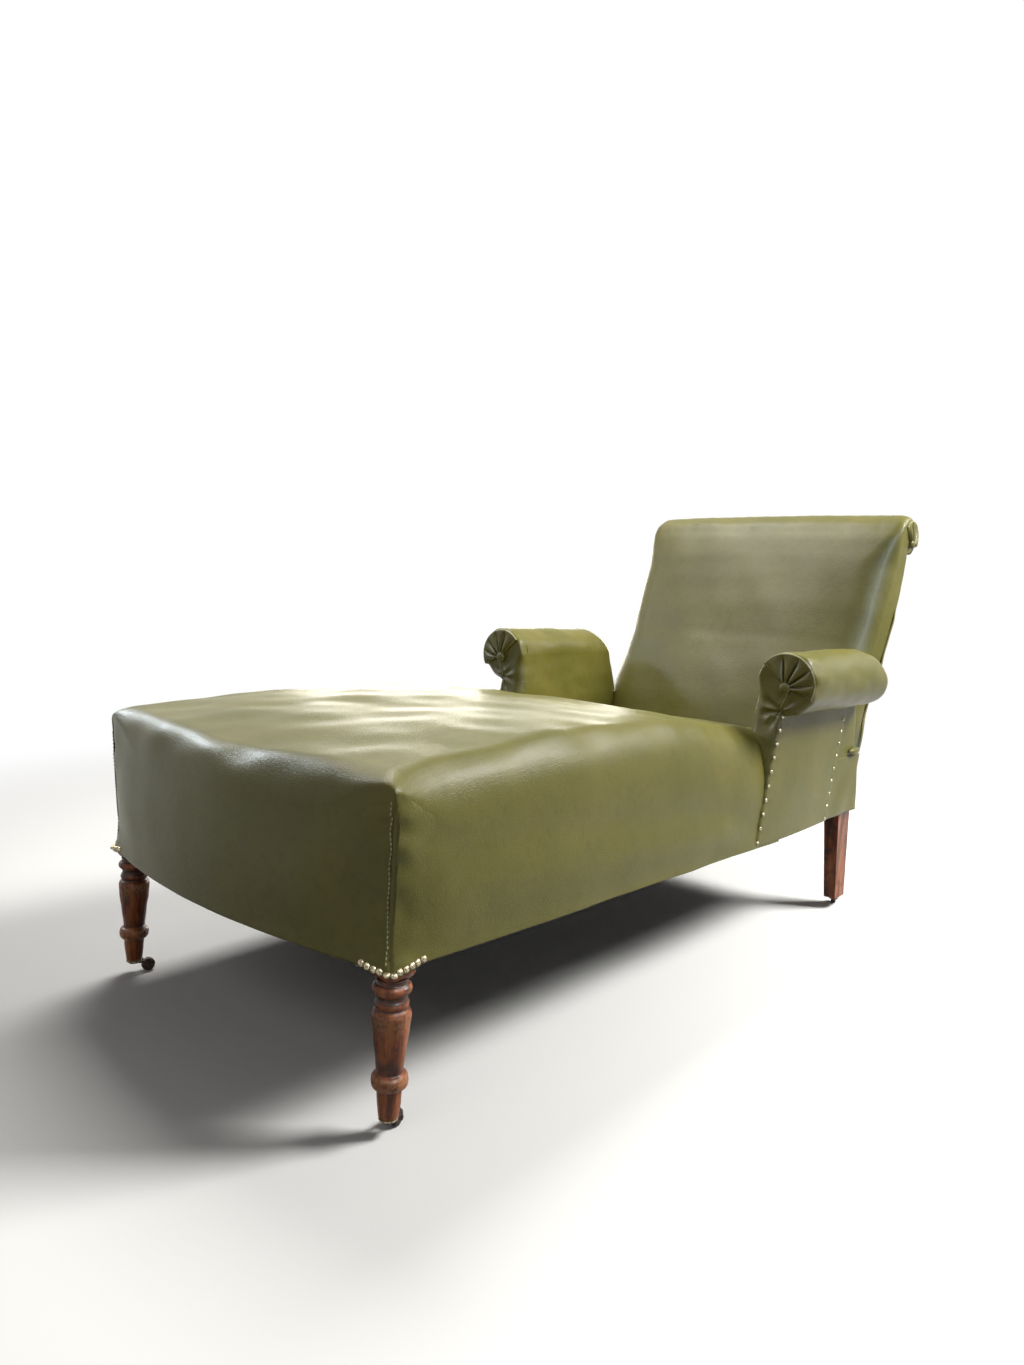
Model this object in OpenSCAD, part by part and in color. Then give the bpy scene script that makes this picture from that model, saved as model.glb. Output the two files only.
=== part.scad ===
// Fainting couch: a sprung daybed with two scroll arms, a raked scroll back and castors.
// Millimetres. X across, +Y from the foot to the head, +Z up, floor at zero, centred over its footprint.

/* [Seat frame] */
// Length of the seat frame, leg blocks to rear legs
frame_length = 1275; // [1150:1:1400]
// Width of the seat frame over the side rails
frame_width = 680; // [620:1:740]
// Height of the rails' underside above the floor
rail_floor = 216; // [200:1:240]
// Depth of the rails from top to bottom
rail_depth = 100; // [90:1:112]
// Thickness of the rails
rail_thick = 28; // [24:1:32]
// How far the foot end bows out at its middle
foot_bow = 43; // [30:1:55]

/* [Seat] */
// Height of the seat's crown above the rails' underside
seat_rise = 252; // [225:1:275]
// How far the side borders swell at their middle
side_bulge = 11; // [4:1:16]
// Thickness of the leather with its thin wadding
skin = 3; // [2.5:0.1:3.5]

/* [Arms] */
// How far out past the seat frame the middle of an arm's scroll stands
scroll_over = 10; // [6:1:16]
// Height of the scroll's middle above the rails' underside
scroll_rise = 282; // [266:1:300]
// Radius of the arm's scroll over the leather
scroll_r = 58; // [50:1:62]
// Thickness of the padded arm below its scroll
arm_thick = 56; // [52:1:60]
// Distance from the foot end to the front of the arm's scroll
arm_front = 925; // [880:1:960]
// Lean of the arm's front from upright, in degrees
arm_lean = 18; // [12:0.5:20]

/* [Back] */
// Height of the back's scroll above the seat rails
back_rise = 494; // [450:1:530]
// How far the back rakes from the seat to its scroll
back_reach = 294; // [270:1:320]
// Radius of the back's scroll over the leather
roll_r = 42; // [38:1:46]
// How far each side of the back's scroll sets in from the seat frame
back_set = 10; // [5:1:15]
// How far each side of the back draws in from its scroll down to the seat
back_taper = 18; // [8:1:22]
// How far the inside back is crowned
back_crown = 22; // [10:1:28]

/* [Legs and castors] */
// Side of the square block on each front leg
leg_block = 44; // [40:1:48]
// Thickness of the rear uprights
upright_thick = 32; // [28:1:34]
// Radius of the castor wheels
wheel_r = 10.5; // [9.5:0.1:10.8]
// Distance from a castor's pivot to its axle
trail = 22; // [21.5:0.1:24]

/* [Hidden] */

// Clearances between soft pieces, between wood and cloth, and an overrun for cuts
clear = 0.4;
fit = 0.3;
cut = 2;
seam_gap = 1;
$fn = 48;

// Main stations of the frame, measured from the foot end's corner line
half_w = frame_width / 2;
wad = 3;
skin_half = half_w + wad;
block_front = wad;
block_back = block_front + leg_block;
block_in = half_w - leg_block;
leg_x = half_w - leg_block / 2;
leg_y = block_front + leg_block / 2;
rail_top = rail_floor + rail_depth;
frame_end = block_front + frame_length;
upright_depth = 55;
upright_front = frame_end - upright_depth;
rail_in = half_w - rail_thick;

// The back's profile starts at this point and ends at its scroll
base_set = 42;
base_y = frame_end - base_set;
roll_y = base_y + back_reach;
roll_z = rail_top + back_rise;
back_half = half_w - back_set;

// The foot end is one circular arc, on the leather and on the rail
function arc_y(x, half, rise) =
    let (r = (half * half + rise * rise) / (2 * rise)) (r - rise) - sqrt(r * r - x * x);
first_share = 0.13;
// The leather swells out past its seams by this much at the middle of its height
edge_flare = 6;
front_reach = edge_flare - arc_y(first_share * skin_half, skin_half, foot_bow);
pad_swell = 2;
rail_bow = foot_bow - pad_swell;
function rail_face(x) = block_front + arc_y(x, block_in, rail_bow);
function rail_radius() = (block_in * block_in + rail_bow * rail_bow) / (2 * rail_bow);
function rail_back(x) =
    block_front - rail_bow + rail_radius() - sqrt(pow(rail_radius() - rail_thick, 2) - x * x);

// Everything is set back so that the whole length is centred on the origin
foot_y = -(roll_y + roll_r - front_reach) / 2;

function mix(a, b, t) = a + (b - a) * t;
function mirrored(points) = concat(points, [for (i = [len(points) - 1:-1:0]) [-points[i][0], points[i][1]]]);
module bench() translate([0, foot_y, 0]) children();
module on_side(s) mirror([s < 0 ? 1 : 0, 0, 0]) children();

// Extrude a Y-Z outline along X, and an X-Z outline along Y
module along_x(x0, x1) translate([x0, 0, 0]) rotate([90, 0, 90]) linear_extrude(x1 - x0) children();
module along_y(y0, y1) translate([0, y1, 0]) rotate([90, 0, 0]) linear_extrude(y1 - y0) children();
module box(lo, hi) translate(lo) cube(hi - lo);

// Colours of the woods, leathers, cloths and metals
beech = [0.72, 0.56, 0.36];
walnut = [0.38, 0.2, 0.1];
olive = [0.37, 0.38, 0.2];
olive_dark = [0.3, 0.31, 0.16];
jute = [0.66, 0.55, 0.36];
hair = [0.45, 0.38, 0.28];
black_cloth = [0.12, 0.12, 0.12];
brass = [0.72, 0.58, 0.32];
iron = [0.2, 0.19, 0.18];

// Closed loops of points stacked from bottom to top make a skin or a solid.
// Loop points run down the right side and back up the left, so point i faces point n-1-i.
function loop_faces(rows, n, at, flip) = [
    for (k = [0:rows - 2], i = [0:n - 1])
        let (j = (i + 1) % n, a = at + k * n + i, b = at + k * n + j,
            c = at + (k + 1) * n + j, d = at + (k + 1) * n + i)
        for (f = flip ? [[a, b, c], [a, c, d]] : [[a, c, b], [a, d, c]]) f
];
function cap_faces(n, at, flip) = [
    for (i = [0:n / 2 - 2])
        let (a = at + i, b = at + i + 1, c = at + n - 2 - i, d = at + n - 1 - i)
        for (f = flip ? [[a, b, c], [a, c, d]] : [[a, c, b], [a, d, c]]) f
];
module loop_solid(loops) {
    n = len(loops[0]);
    polyhedron([for (l = loops) for (p = l) p], concat(
        loop_faces(len(loops), n, 0, false),
        cap_faces(n, (len(loops) - 1) * n, false),
        cap_faces(n, 0, true)));
}
module loop_shell(outer, inner) {
    n = len(outer[0]);
    at = len(outer) * n;
    polyhedron([for (l = concat(outer, inner)) for (p = l) p], concat(
        loop_faces(len(outer), n, 0, false),
        cap_faces(n, at - n, false),
        loop_faces(len(inner), n, at, true),
        cap_faces(n, at + (len(inner) - 1) * n, true),
        [for (i = [0:n - 1]) let (j = (i + 1) % n)
            for (f = [[i, j, at + j], [i, at + j, at + i]]) f]));
}
// Two sheets of the same grid, joined round their edges, make a slab.
module sheet_slab(front, back) {
    m = len(front);
    n = len(front[0]);
    at = m * n;
    rim = concat([for (i = [0:n - 2]) i], [for (k = [0:m - 2]) k * n + n - 1],
        [for (i = [0:n - 2]) (m - 1) * n + n - 1 - i], [for (k = [0:m - 2]) (m - 1 - k) * n]);
    polyhedron([for (row = concat(front, back)) for (p = row) p], concat(
        [for (k = [0:m - 2], i = [0:n - 2]) let (a = k * n + i)
            for (f = [[a, a + 1, a + n + 1], [a, a + n + 1, a + n]]) f],
        [for (k = [0:m - 2], i = [0:n - 2]) let (a = at + k * n + i)
            for (f = [[a, a + n + 1, a + 1], [a, a + n, a + n + 1]]) f],
        [for (i = [0:len(rim) - 1]) let (a = rim[i], b = rim[(i + 1) % len(rim)])
            for (f = [[a, at + b, b], [a, at + a, at + b]]) f]));
}

// Seat frame of beech rails, tenoned to the leg blocks and the uprights
module foot_rail() color(beech) bench() intersection() {
    box([-block_in, -foot_bow, rail_floor], [block_in, block_back, rail_top]);
    translate([0, block_front - rail_bow + rail_radius(), rail_floor]) difference() {
        cylinder(r = rail_radius(), h = rail_depth, $fn = 360);
        translate([0, 0, -cut]) cylinder(r = rail_radius() - rail_thick, h = rail_depth + 2 * cut, $fn = 360);
    }
}
module side_rail(s) color(beech) bench() on_side(s)
    box([rail_in, block_back, rail_floor], [half_w, upright_front, rail_top]);
head_set = 6;
module head_rail() color(beech) bench() box(
    [-upright_in, frame_end - head_set - rail_thick, rail_floor],
    [upright_in, frame_end - head_set, rail_top]);

// A stretcher between two rows of springs keeps the side rails from bowing in
cross_depth = 46;
function cross_y() = row_y(floor(spring_rows / 2) + 0.5);
module cross_rail() color(beech) bench() box(
    [-rail_in, cross_y() - rail_thick / 2, web_z + 2 * web_t + fit],
    [rail_in, cross_y() + rail_thick / 2, web_z + 2 * web_t + fit + cross_depth]);

// Three-cornered blocks glued and screwed into the corners of the rails
corner_leg = 62;
corner_gap = 8;
corner_depth = 46;
screw_r = 2.4;
module corner_places() for (s = [-1, 1]) {
    translate([s * rail_in, block_back, 0]) rotate([0, 0, s > 0 ? 90 : 0]) children();
    translate([s * rail_in, upright_front, 0]) rotate([0, 0, s > 0 ? 180 : 270]) children();
}
module corner_blocks() color(beech) bench() corner_places() difference() {
    translate([0, 0, rail_top - corner_gap - corner_depth]) linear_extrude(corner_depth)
        polygon([[fit, fit], [corner_leg, fit], [fit, corner_leg]]);
    for (d = [0, 1]) translate([0, 0, corner_height(d)]) corner_bore(d, screw_r + fit / 10);
}
// One screw goes into each of the two rails at a corner, at its own height
screw_place_share = 0.42;
function corner_height(d) = rail_top - corner_gap - corner_depth / 3 * (d + 1);
module corner_bore(d, r) {
    place = corner_leg * screw_place_share;
    if (d == 0) translate([place, -fit, 0]) rotate([-90, 0, 0]) cylinder(r = r, h = corner_leg, $fn = 24);
    if (d == 1) translate([-fit, place, 0]) rotate([0, 90, 0]) cylinder(r = r, h = corner_leg, $fn = 24);
}
module corner_screw(d) {
    place = corner_leg * screw_place_share;
    reach = corner_leg - place - fit;
    if (d == 0) translate([place, fit, 0]) rotate([-90, 0, 0]) cylinder(r = screw_r, h = reach, $fn = 24);
    if (d == 1) translate([fit, place, 0]) rotate([0, 90, 0]) cylinder(r = screw_r, h = reach, $fn = 24);
}
module corner_screws() color(iron) bench() corner_places()
    for (d = [0, 1]) translate([0, 0, corner_height(d)]) corner_screw(d);

// Castor sizes, because the legs are bored for them
plate_r = 12;
plate_t = 1.8;
wheel_gap = 1;
foot_z = 2 * wheel_r + wheel_gap;
plate_z = foot_z - plate_t;
pintle_r = 3;
pintle_head_r = 4.2;
pintle_head_t = 2;
pintle_up = 2.4;
well_r = 5.2;
well_depth = 6;
run = 0.05;
plate_screw_r = 1.3;
plate_screw_ring = 8.6;
plate_screw_length = 14;
module plate_screw_places()
    for (a = [90, 210, 330]) rotate([0, 0, a]) translate([plate_screw_ring, 0, 0]) children();
module leg_bores() {
    translate([0, 0, foot_z - cut]) cylinder(r = well_r, h = well_depth + cut);
    plate_screw_places() translate([0, 0, foot_z - cut])
        cylinder(r = plate_screw_r + run / 2, h = plate_screw_length - plate_t + cut + fit, $fn = 24);
}

// Turned front leg: square block, two rings, a vase, a collar and a short foot
// Heights are shares of the turned length, radii are shares of the block's side
block_drop = 21;
turned_top = rail_floor - block_drop;
turned_length = turned_top - foot_z;
leg_shares = [
    [0, 0], [0.25, 0], [0.285, 0.02], [0.345, 0.18], [0.355, 0.215],
    [0.4, 0.225], [0.43, 0.235], [0.46, 0.27], [0.495, 0.3],
    [0.508, 0.325], [0.495, 0.345], [0.41, 0.362], [0.385, 0.385],
    [0.42, 0.5], [0.485, 0.62], [0.525, 0.71], [0.538, 0.755],
    [0.535, 0.79], [0.5, 0.815], [0.43, 0.84], [0.415, 0.862],
    [0.43, 0.885], [0.5, 0.9], [0.535, 0.922], [0.5, 0.945],
    [0.44, 0.965], [0.44, 1], [0, 1]];
module front_leg(s) color(walnut) bench() on_side(s) difference() {
    union() {
        translate([block_in, block_front, turned_top]) cube([leg_block, leg_block, rail_top - turned_top]);
        translate([leg_x, leg_y, foot_z]) rotate_extrude(convexity = 6)
            polygon([for (p = leg_shares) [p[0] * leg_block, p[1] * turned_length + (p[1] == 1 ? cut : 0)]]);
    }
    translate([leg_x, leg_y, 0]) leg_bores();
}

// The back's side outlines, as shares of its reach and its rise from the base point
front_shares = [
    [0.008, 0.009], [0.054, 0.059], [0.245, 0.285], [0.429, 0.486], [0.582, 0.715],
    [0.687, 0.883], [0.769, 0.98], [0.847, 1.045], [0.915, 1.077]];
rear_shares = [
    [0.167, 0], [0.218, 0.059], [0.476, 0.285], [0.687, 0.486], [0.857, 0.715], [0.939, 0.883]];
function half_at(h) = back_half - back_taper * (1 - min(1, h));
function back_point(p) = [base_y + p[0] * back_reach, rail_top + p[1] * back_rise];
rear_line = [for (p = rear_shares) back_point(p)];

// Rear upright: tapered leg, rail joint and raked post with a round head, in one piece
post_depth = 34;
post_width = 56;
upright_in = half_w - post_width;
post_out = back_half - skin - seam_gap;
post_low = post_out - back_taper;
foot_set = 34;
foot_kick = 11;
foot_front = frame_end - foot_set;
foot_back = frame_end + foot_kick;
foot_in = 5;
head_r = 31;
module upright(s) color(walnut) bench() on_side(s) difference() {
    union() {
        intersection() {
            along_x(half_w - upright_thick, half_w) polygon([
                [foot_front, foot_z], [foot_back, foot_z], [frame_end, rail_floor],
                [frame_end, rail_top], [upright_front, rail_top], [upright_front, rail_floor]]);
            along_y(upright_front - cut, foot_back + cut) polygon([
                [half_w - upright_thick, rail_top], [half_w - upright_thick, rail_floor],
                [half_w - upright_thick + foot_in, foot_z], [half_w - wad, foot_z],
                [half_w, rail_floor], [half_w, rail_top]]);
        }
        intersection() {
            along_x(upright_in, post_out) polygon(concat(
                [[upright_front, rail_floor], [frame_end, rail_floor]],
                [for (p = rear_line) [p[0] - skin - fit, p[1]]],
                [[roll_y + post_depth / 2, roll_z], [roll_y - post_depth / 2, roll_z]],
                [for (i = [len(rear_line) - 1:-1:0])
                    [rear_line[i][0] - skin - fit - post_depth, rear_line[i][1]]],
                [[upright_front, rail_top]]));
            along_y(upright_front - cut, roll_y + head_r) polygon([
                [upright_in - cut, rail_floor - cut], [post_low, rail_floor - cut], [post_low, rail_top],
                [post_out, roll_z], [post_out, roll_z + cut], [upright_in - cut, roll_z + cut]]);
        }
        translate([upright_in, roll_y, roll_z]) rotate([0, 90, 0])
            cylinder(r = head_r, h = post_out - upright_in - back_taper * head_r / back_rise);
    }
    translate([rear_leg_x, rear_leg_y, 0]) leg_bores();
}
rear_leg_x = half_w - (upright_thick - foot_in + wad) / 2;
rear_leg_y = (foot_front + foot_back) / 2;

top_rail_r = 22;
module back_top_rail() color(beech) bench() translate([-upright_in, roll_y, roll_z])
    rotate([0, 90, 0]) cylinder(r = top_rail_r, h = 2 * upright_in);
tack_rise = 46;
tack_depth = 44;
tack_thick = 22;
back_angle = atan2(rear_line[2][0] - rear_line[1][0], rear_line[2][1] - rear_line[1][1]);
tack_y = rear_point(tack_rise / back_rise)[0] - skin - fit;
module back_tack_rail() color(beech) bench()
    translate([-upright_in, tack_y, rail_top + tack_rise])
        rotate([-back_angle, 0, 0]) translate([0, -tack_thick - skin, 0])
            cube([2 * upright_in, tack_thick, tack_depth]);

// Arm outlines: across the couch (X-Z) and from the side (Y-Z), drawn in by a given inset
scroll_side = half_w + scroll_over;
scroll_z = rail_floor + scroll_rise;
scroll_y = arm_front;
lean_drop = scroll_r - seam_gap;
lean = tan(arm_lean);
arm_out = half_w - fit;
arm_in = arm_out - arm_thick;
arm_base = rail_top + 2 * fit;
neck_drop = 45;
neck_z = scroll_z - neck_drop;
function front_line(z) = scroll_y - max(0, scroll_z - lean_drop - z) * lean;
arm_gap = 4;
arm_rear = base_y - arm_gap;
roll_round = 80;
roll_over = 14;
roll_back = arm_rear + roll_over;
rear_drop = 60;
rear_rise = 28;

// Across the couch the scroll runs round from the arm's outside to its shoulder
shoulder_drop = 30;
scroll_steps = 24;
scroll_join = 172;
module arm_across(e, drop, outer) {
    r = scroll_r - e;
    a = -90 - asin((scroll_side - arm_out + outer) / r);
    polygon(concat(
        [[arm_out - outer, arm_base - drop]],
        [for (k = [0:scroll_steps]) let (t = mix(a, scroll_join, k / scroll_steps))
            [scroll_side + r * cos(t), scroll_z + r * sin(t)]],
        [[arm_in + e, scroll_z - shoulder_drop], [arm_in + e, arm_base - drop]]));
}
module arm_along(e, drop) polygon(concat(
    [[front_line(arm_base - drop) + e, arm_base - drop], [scroll_y + e, scroll_z - lean_drop],
        [scroll_y + e, scroll_z + scroll_r + cut - e]],
    [for (a = [90:-15:0]) [roll_back - roll_round + (roll_round - e) * cos(a),
        scroll_z + scroll_r - roll_round + (roll_round - e) * sin(a) + (a == 90 ? cut : 0)]],
    [[roll_back - e, scroll_z - rear_drop], [arm_rear - e, arm_base + rear_rise],
        [arm_rear - e, arm_base - drop]]));
module arm_form(e, drop = 0) intersection() {
    along_y(block_back, roll_y) arm_across(e, drop, e);
    along_x(rail_in / 2, scroll_side + scroll_r + cut) arm_along(e, drop);
}

// Arm frame: leaning front post with a scroll head, round scroll rail and a rear stay
post_set = 9;
post_thick = 24;
stay_set = 70;
stay_y = arm_rear - stay_set;
stay_thick = 26;
arm_wood_in = 15;
arm_rail_r = 22;
arm_set = skin + fit;
post_front = post_set + post_thick;
wood_low = rail_top - cut;
// The post goes up through the scroll in one piece; its pocket in the stuffing is larger by g
module arm_post_form(g, outer) intersection() {
    along_y(block_back, roll_y) arm_across(arm_wood_in - g, fit + g, outer);
    along_x(rail_in / 2, scroll_side + scroll_r) polygon([
        [front_line(wood_low) + post_set - g, wood_low],
        [scroll_y + post_set - g, scroll_z - lean_drop], [scroll_y + post_set - g, scroll_z + scroll_r],
        [scroll_y + post_front + g, scroll_z + scroll_r], [scroll_y + post_front + g, scroll_z - lean_drop],
        [front_line(wood_low) + post_front + g, wood_low]]);
}
// The stay stands upright, and the rail rests in its top
module arm_stay_form(g, outer) along_y(stay_y - g, stay_y + stay_thick + g) polygon([
    [arm_in + arm_wood_in - g, rail_top + fit - g], [arm_in + arm_wood_in - g, scroll_z - arm_rail_r / 2 + g],
    [scroll_side - arm_wood_in / 2, scroll_z - arm_rail_r / 2 + g],
    [arm_out - outer, scroll_z - arm_rail_r], [arm_out - outer, rail_top + fit - g]]);
arm_rail_start = scroll_y + post_front;
arm_rail_end = roll_back - roll_round / 2;
module arm_rail_form(g, lap) translate([scroll_side, arm_rail_end + g, scroll_z]) rotate([90, 0, 0])
    cylinder(r = arm_rail_r + g, h = arm_rail_end + g - arm_rail_start + lap);
module arm_post(s) color(beech) bench() on_side(s) arm_post_form(0, arm_set);
module arm_stay(s) color(beech) bench() on_side(s) difference() {
    arm_stay_form(0, arm_set);
    arm_rail_form(0, cut);
}
module arm_rail(s) color(beech) bench() on_side(s) arm_rail_form(0, 0);
module arm_stuffing(s) color(hair) bench() on_side(s) difference() {
    arm_form(arm_set);
    arm_post_form(fit, -cut);
    arm_stay_form(fit, -cut);
    arm_rail_form(fit, cut);
}
module arm_leather(s) color(olive) bench() on_side(s) difference() {
    arm_form(0);
    arm_form(skin, cut);
}

// Outside arm panel and the border leather behind it, between raking lines
panel_t = 10;
panel_set = 2;
panel_front = front_line(rail_floor) + panel_set;
panel_tail = 86;
panel_span = arm_rear - panel_front - panel_tail;
panel_low = rail_floor - skin;
panel_drop = 14;
panel_top = neck_z - panel_drop;
function rake(y, z) = y + (z - rail_floor) * lean;
module outside_arm(s) color(olive) bench() on_side(s) along_x(half_w + fit, half_w + panel_t) polygon([
    [rake(panel_front, panel_low), panel_low], [rake(panel_front + panel_span, panel_low), panel_low],
    [rake(panel_front + panel_span, panel_top), panel_top], [rake(panel_front, panel_top), panel_top]]);
cover_t = 6;
cover_rise = 16;
module rear_side_cover(s) color(olive) bench() on_side(s) along_x(half_w + fit, half_w + cover_t) polygon([
    [rake(panel_front + panel_span + seam_gap, panel_low), panel_low], [frame_end + skin, panel_low],
    [frame_end + skin + cover_rise, rail_top + cover_rise],
    [rake(panel_front + panel_span + seam_gap, rail_top + cover_rise), rail_top + cover_rise]]);

// The seat's top line and its edge line from the foot to the back, as shares of the length and the rise
crown_shares = [
    [0, 0.86], [0.08, 0.955], [0.22, 1], [0.36, 1], [0.5, 0.93], [0.65, 0.84], [0.77, 0.72], [1, 0.56]];
edge_shares = [
    [0, 0.79], [0.2, 0.79], [0.35, 0.775], [0.45, 0.735], [0.53, 0.69], [0.63, 0.61], [0.7, 0.565],
    [0.82, 0.55], [1, 0.5]];
seat_end = base_y - skin - seam_gap;
function crown_z(y) = rail_floor + seat_rise * lookup(y / base_y, crown_shares);
function edge_z(y) = rail_floor + seat_rise * lookup(y / base_y, edge_shares);

// The seat's outline on the right, from the foot's middle to the back's middle.
// Each row: outer place, inner place on the wood, inward direction, lip, dip, drop, lean, spine share
notch_gap = 1.5;
notch_x = arm_in - notch_gap;
notch_y = front_line(rail_floor) - seam_gap;
corner_r = 10;
lip = 22;
nail_dip = 9;
arc_gap = 1.2;
foot_table = [
    for (t = [[first_share, 0.1], [0.4, 0.11], [0.66, 0.12], [0.81, 0.13]]) let (x = t[0] * skin_half)
        [[x, arc_y(x, skin_half, foot_bow)], [x, rail_face(x) - arc_gap], [0, 1], 1, 0, 1, 0, t[1]],
    let (x = block_in - seam_gap * 4)
        [[x, arc_y(x, skin_half, foot_bow)], [x, rail_face(x) - arc_gap], [0, 1], 0, 0, 1, 0, 0.14]];
corner_share = 0.29;
corner_table = [
    [[skin_half - corner_r, arc_y(skin_half - corner_r, skin_half, foot_bow)],
        [skin_half - 2 * corner_r, block_front - fit], [-0.3, 1], 0, 0.8, 1, 0, 0.15],
    [[skin_half - corner_share * corner_r, corner_share * corner_r],
        [half_w + fit, block_front - fit], [-0.7, 0.7], 0, 1, 1, 0, 0.16],
    [[skin_half, corner_r], [half_w + fit, block_front + corner_r], [-1, 0.3], 0, 0.8, 1, 0, 0.17]];
side_start = block_back + 2 * corner_r;
function bulge(y) = side_bulge * sin(180 * min(1, max(0, y / base_y)));
side_table = [
    for (t = [[block_back + corner_r / 2, 0, 0.19], [side_start, 1, 0.2]])
        [[skin_half + bulge(t[0]), t[0]], [half_w + fit, t[0]], [-1, 0], t[1], 0, 1, 0, t[2]],
    for (t = [[0.15, 0.24], [0.32, 0.31], [0.5, 0.38], [0.68, 0.45], [0.85, 0.51]])
        let (y = mix(side_start, notch_y, t[0]))
            [[skin_half + bulge(y), y], [half_w + fit, y], [-1, 0], 1, 0, 1, 0, t[1]],
    [[skin_half + bulge(notch_y), notch_y], [half_w + fit, notch_y - skin], [-1, -1], 0, 0, 1, 1, 0.56],
    [[half_w + notch_gap, notch_y + fit], [half_w + fit, notch_y - skin + fit], [-0.1, -1], 0, 0, 0, 1, 0.575],
    [[notch_x, notch_y + 2 * fit], [notch_x - skin, notch_y - skin + 2 * fit],
        [-1, -1], 0, 0, 0, 1, 0.62]];
end_table = [
    for (t = [[0.4, 0.74], [0.75, 0.83]]) let (y = mix(notch_y, seat_end, t[0]))
        [[notch_x, y], [notch_x - skin, y], [-1, 0], 0, 0, 0, 0, t[1]],
    [[notch_x, seat_end - corner_r], [notch_x - skin, seat_end - corner_r - skin],
        [-1, -0.6], 0, 0, 0, 0, 0.88],
    [[notch_x - corner_r, seat_end], [notch_x - corner_r - skin, seat_end - skin],
        [-0.6, -1], 0, 0, 0, 0, 0.89],
    for (t = [[0.6, 0.9, fit], [0.2, 0.91, 2 * fit]])
        [[t[0] * notch_x, seat_end + t[2]], [t[0] * notch_x, seat_end - skin + t[2]],
            [0, -1], 0, 0, 0, 0, t[1]]];
seat_table = concat(foot_table, corner_table, side_table, end_table);

deck_rise = 5;
ledge_rise = 1.5;
deck_z = rail_top + deck_rise;
ledge_z = rail_top + ledge_rise;
lip_step = 1;
deck_step = 0.5;
// Heights of a row: its lower edge, the first loop above that, and the ledge over the rail
function seat_low(r) = r[5] == 1 ? rail_floor - skin - r[4] * nail_dip : deck_z;
function seat_step(r) = seat_low(r) + (r[5] == 1 ? lip_step : deck_step);
function seat_ledge(r) = r[5] == 1 ? ledge_z : deck_z + seam_gap;
function lean_by(r, z) = r[6] * (z - rail_floor) * lean;
// One row's outer point, flared out and drawn in along its direction; leaning rows flare sideways only
function outer_at(r, flare, e, z) = [
    r[0][0] - r[2][0] * (flare - e), r[0][1] - r[2][1] * (flare * (1 - r[6]) - e) + lean_by(r, z), z];
function inner_at(r, z) = [r[1][0], r[1][1] + lean_by(r, z), z];
function top_at(r, s, down) =
    let (x = r[0][0] * (1 - s), y = mix(r[0][1] + lean_by(r, edge_z(r[0][1])), r[7] * base_y, s))
    [x, y, mix(edge_z(r[0][1]), crown_z(y), 1 - (1 - s) * (1 - s)) - down];
// Share of the height from ledge to edge, and the flare, for the loops that round the edge
edge_tuck = 1;
edge_loops = [[0, edge_flare / 3], [0.35, edge_flare], [0.68, edge_flare], [0.9, -edge_tuck]];
function edge_loop(r, q, e) =
    let (z = mix(seat_ledge(r), edge_z(r[0][1]), q[0]))
    outer_at(r, q[1] * r[5], e, z - (q[0] > 0.8 ? e / 2 : 0));
top_loop_shares = [0.05, 0.17, 0.42, 0.74];
inner_share = 0.004;
function seat_half_outer() = concat(
    [[for (r = seat_table) outer_at(r, 0, r[3] * lip, seat_low(r))],
        [for (r = seat_table) outer_at(r, 0, 0, mix(seat_step(r), seat_low(r), r[3]))],
        [for (r = seat_table) outer_at(r, 0, 0, mix(seat_step(r), seat_ledge(r), 0.5))]],
    [for (q = edge_loops) [for (r = seat_table) edge_loop(r, q, 0)]],
    [for (s = top_loop_shares) [for (r = seat_table) top_at(r, s, 0)]]);
function lip_top(r) = seat_low(r) + skin - fit;
function seat_half_inner() = concat(
    [[for (r = seat_table) r[3] == 1 ? outer_at(r, 0, lip, lip_top(r)) : inner_at(r, seat_low(r))],
        [for (r = seat_table) inner_at(r, r[5] == 1 ? lip_top(r) : seat_step(r))],
        [for (r = seat_table) inner_at(r, mix(seat_step(r), seat_ledge(r), 0.5))],
        [for (r = seat_table) inner_at(r, seat_ledge(r) - fit / 3)]],
    [for (q = edge_loops) [for (r = seat_table) edge_loop(r, [max(q[0], 0.01), q[1]], skin)]],
    [for (s = top_loop_shares) [for (r = seat_table) top_at(r, s + inner_share, skin)]]);
function both_halves(rows) = [for (row = rows)
    concat(row, [for (i = [len(row) - 1:-1:0]) [-row[i][0], row[i][1], row[i][2]]])];
module seat_leather() color(olive) bench()
    loop_shell(both_halves(seat_half_outer()), both_halves(seat_half_inner()));
module seat_stuffing() color(hair) bench() loop_solid(both_halves(concat(
    [for (q = edge_loops) [for (r = seat_table) edge_loop(r, [max(q[0], 0.02), q[1]], skin + clear)]],
    [for (s = top_loop_shares) [for (r = seat_table) top_at(r, s + inner_share, skin + clear)]])));

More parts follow.
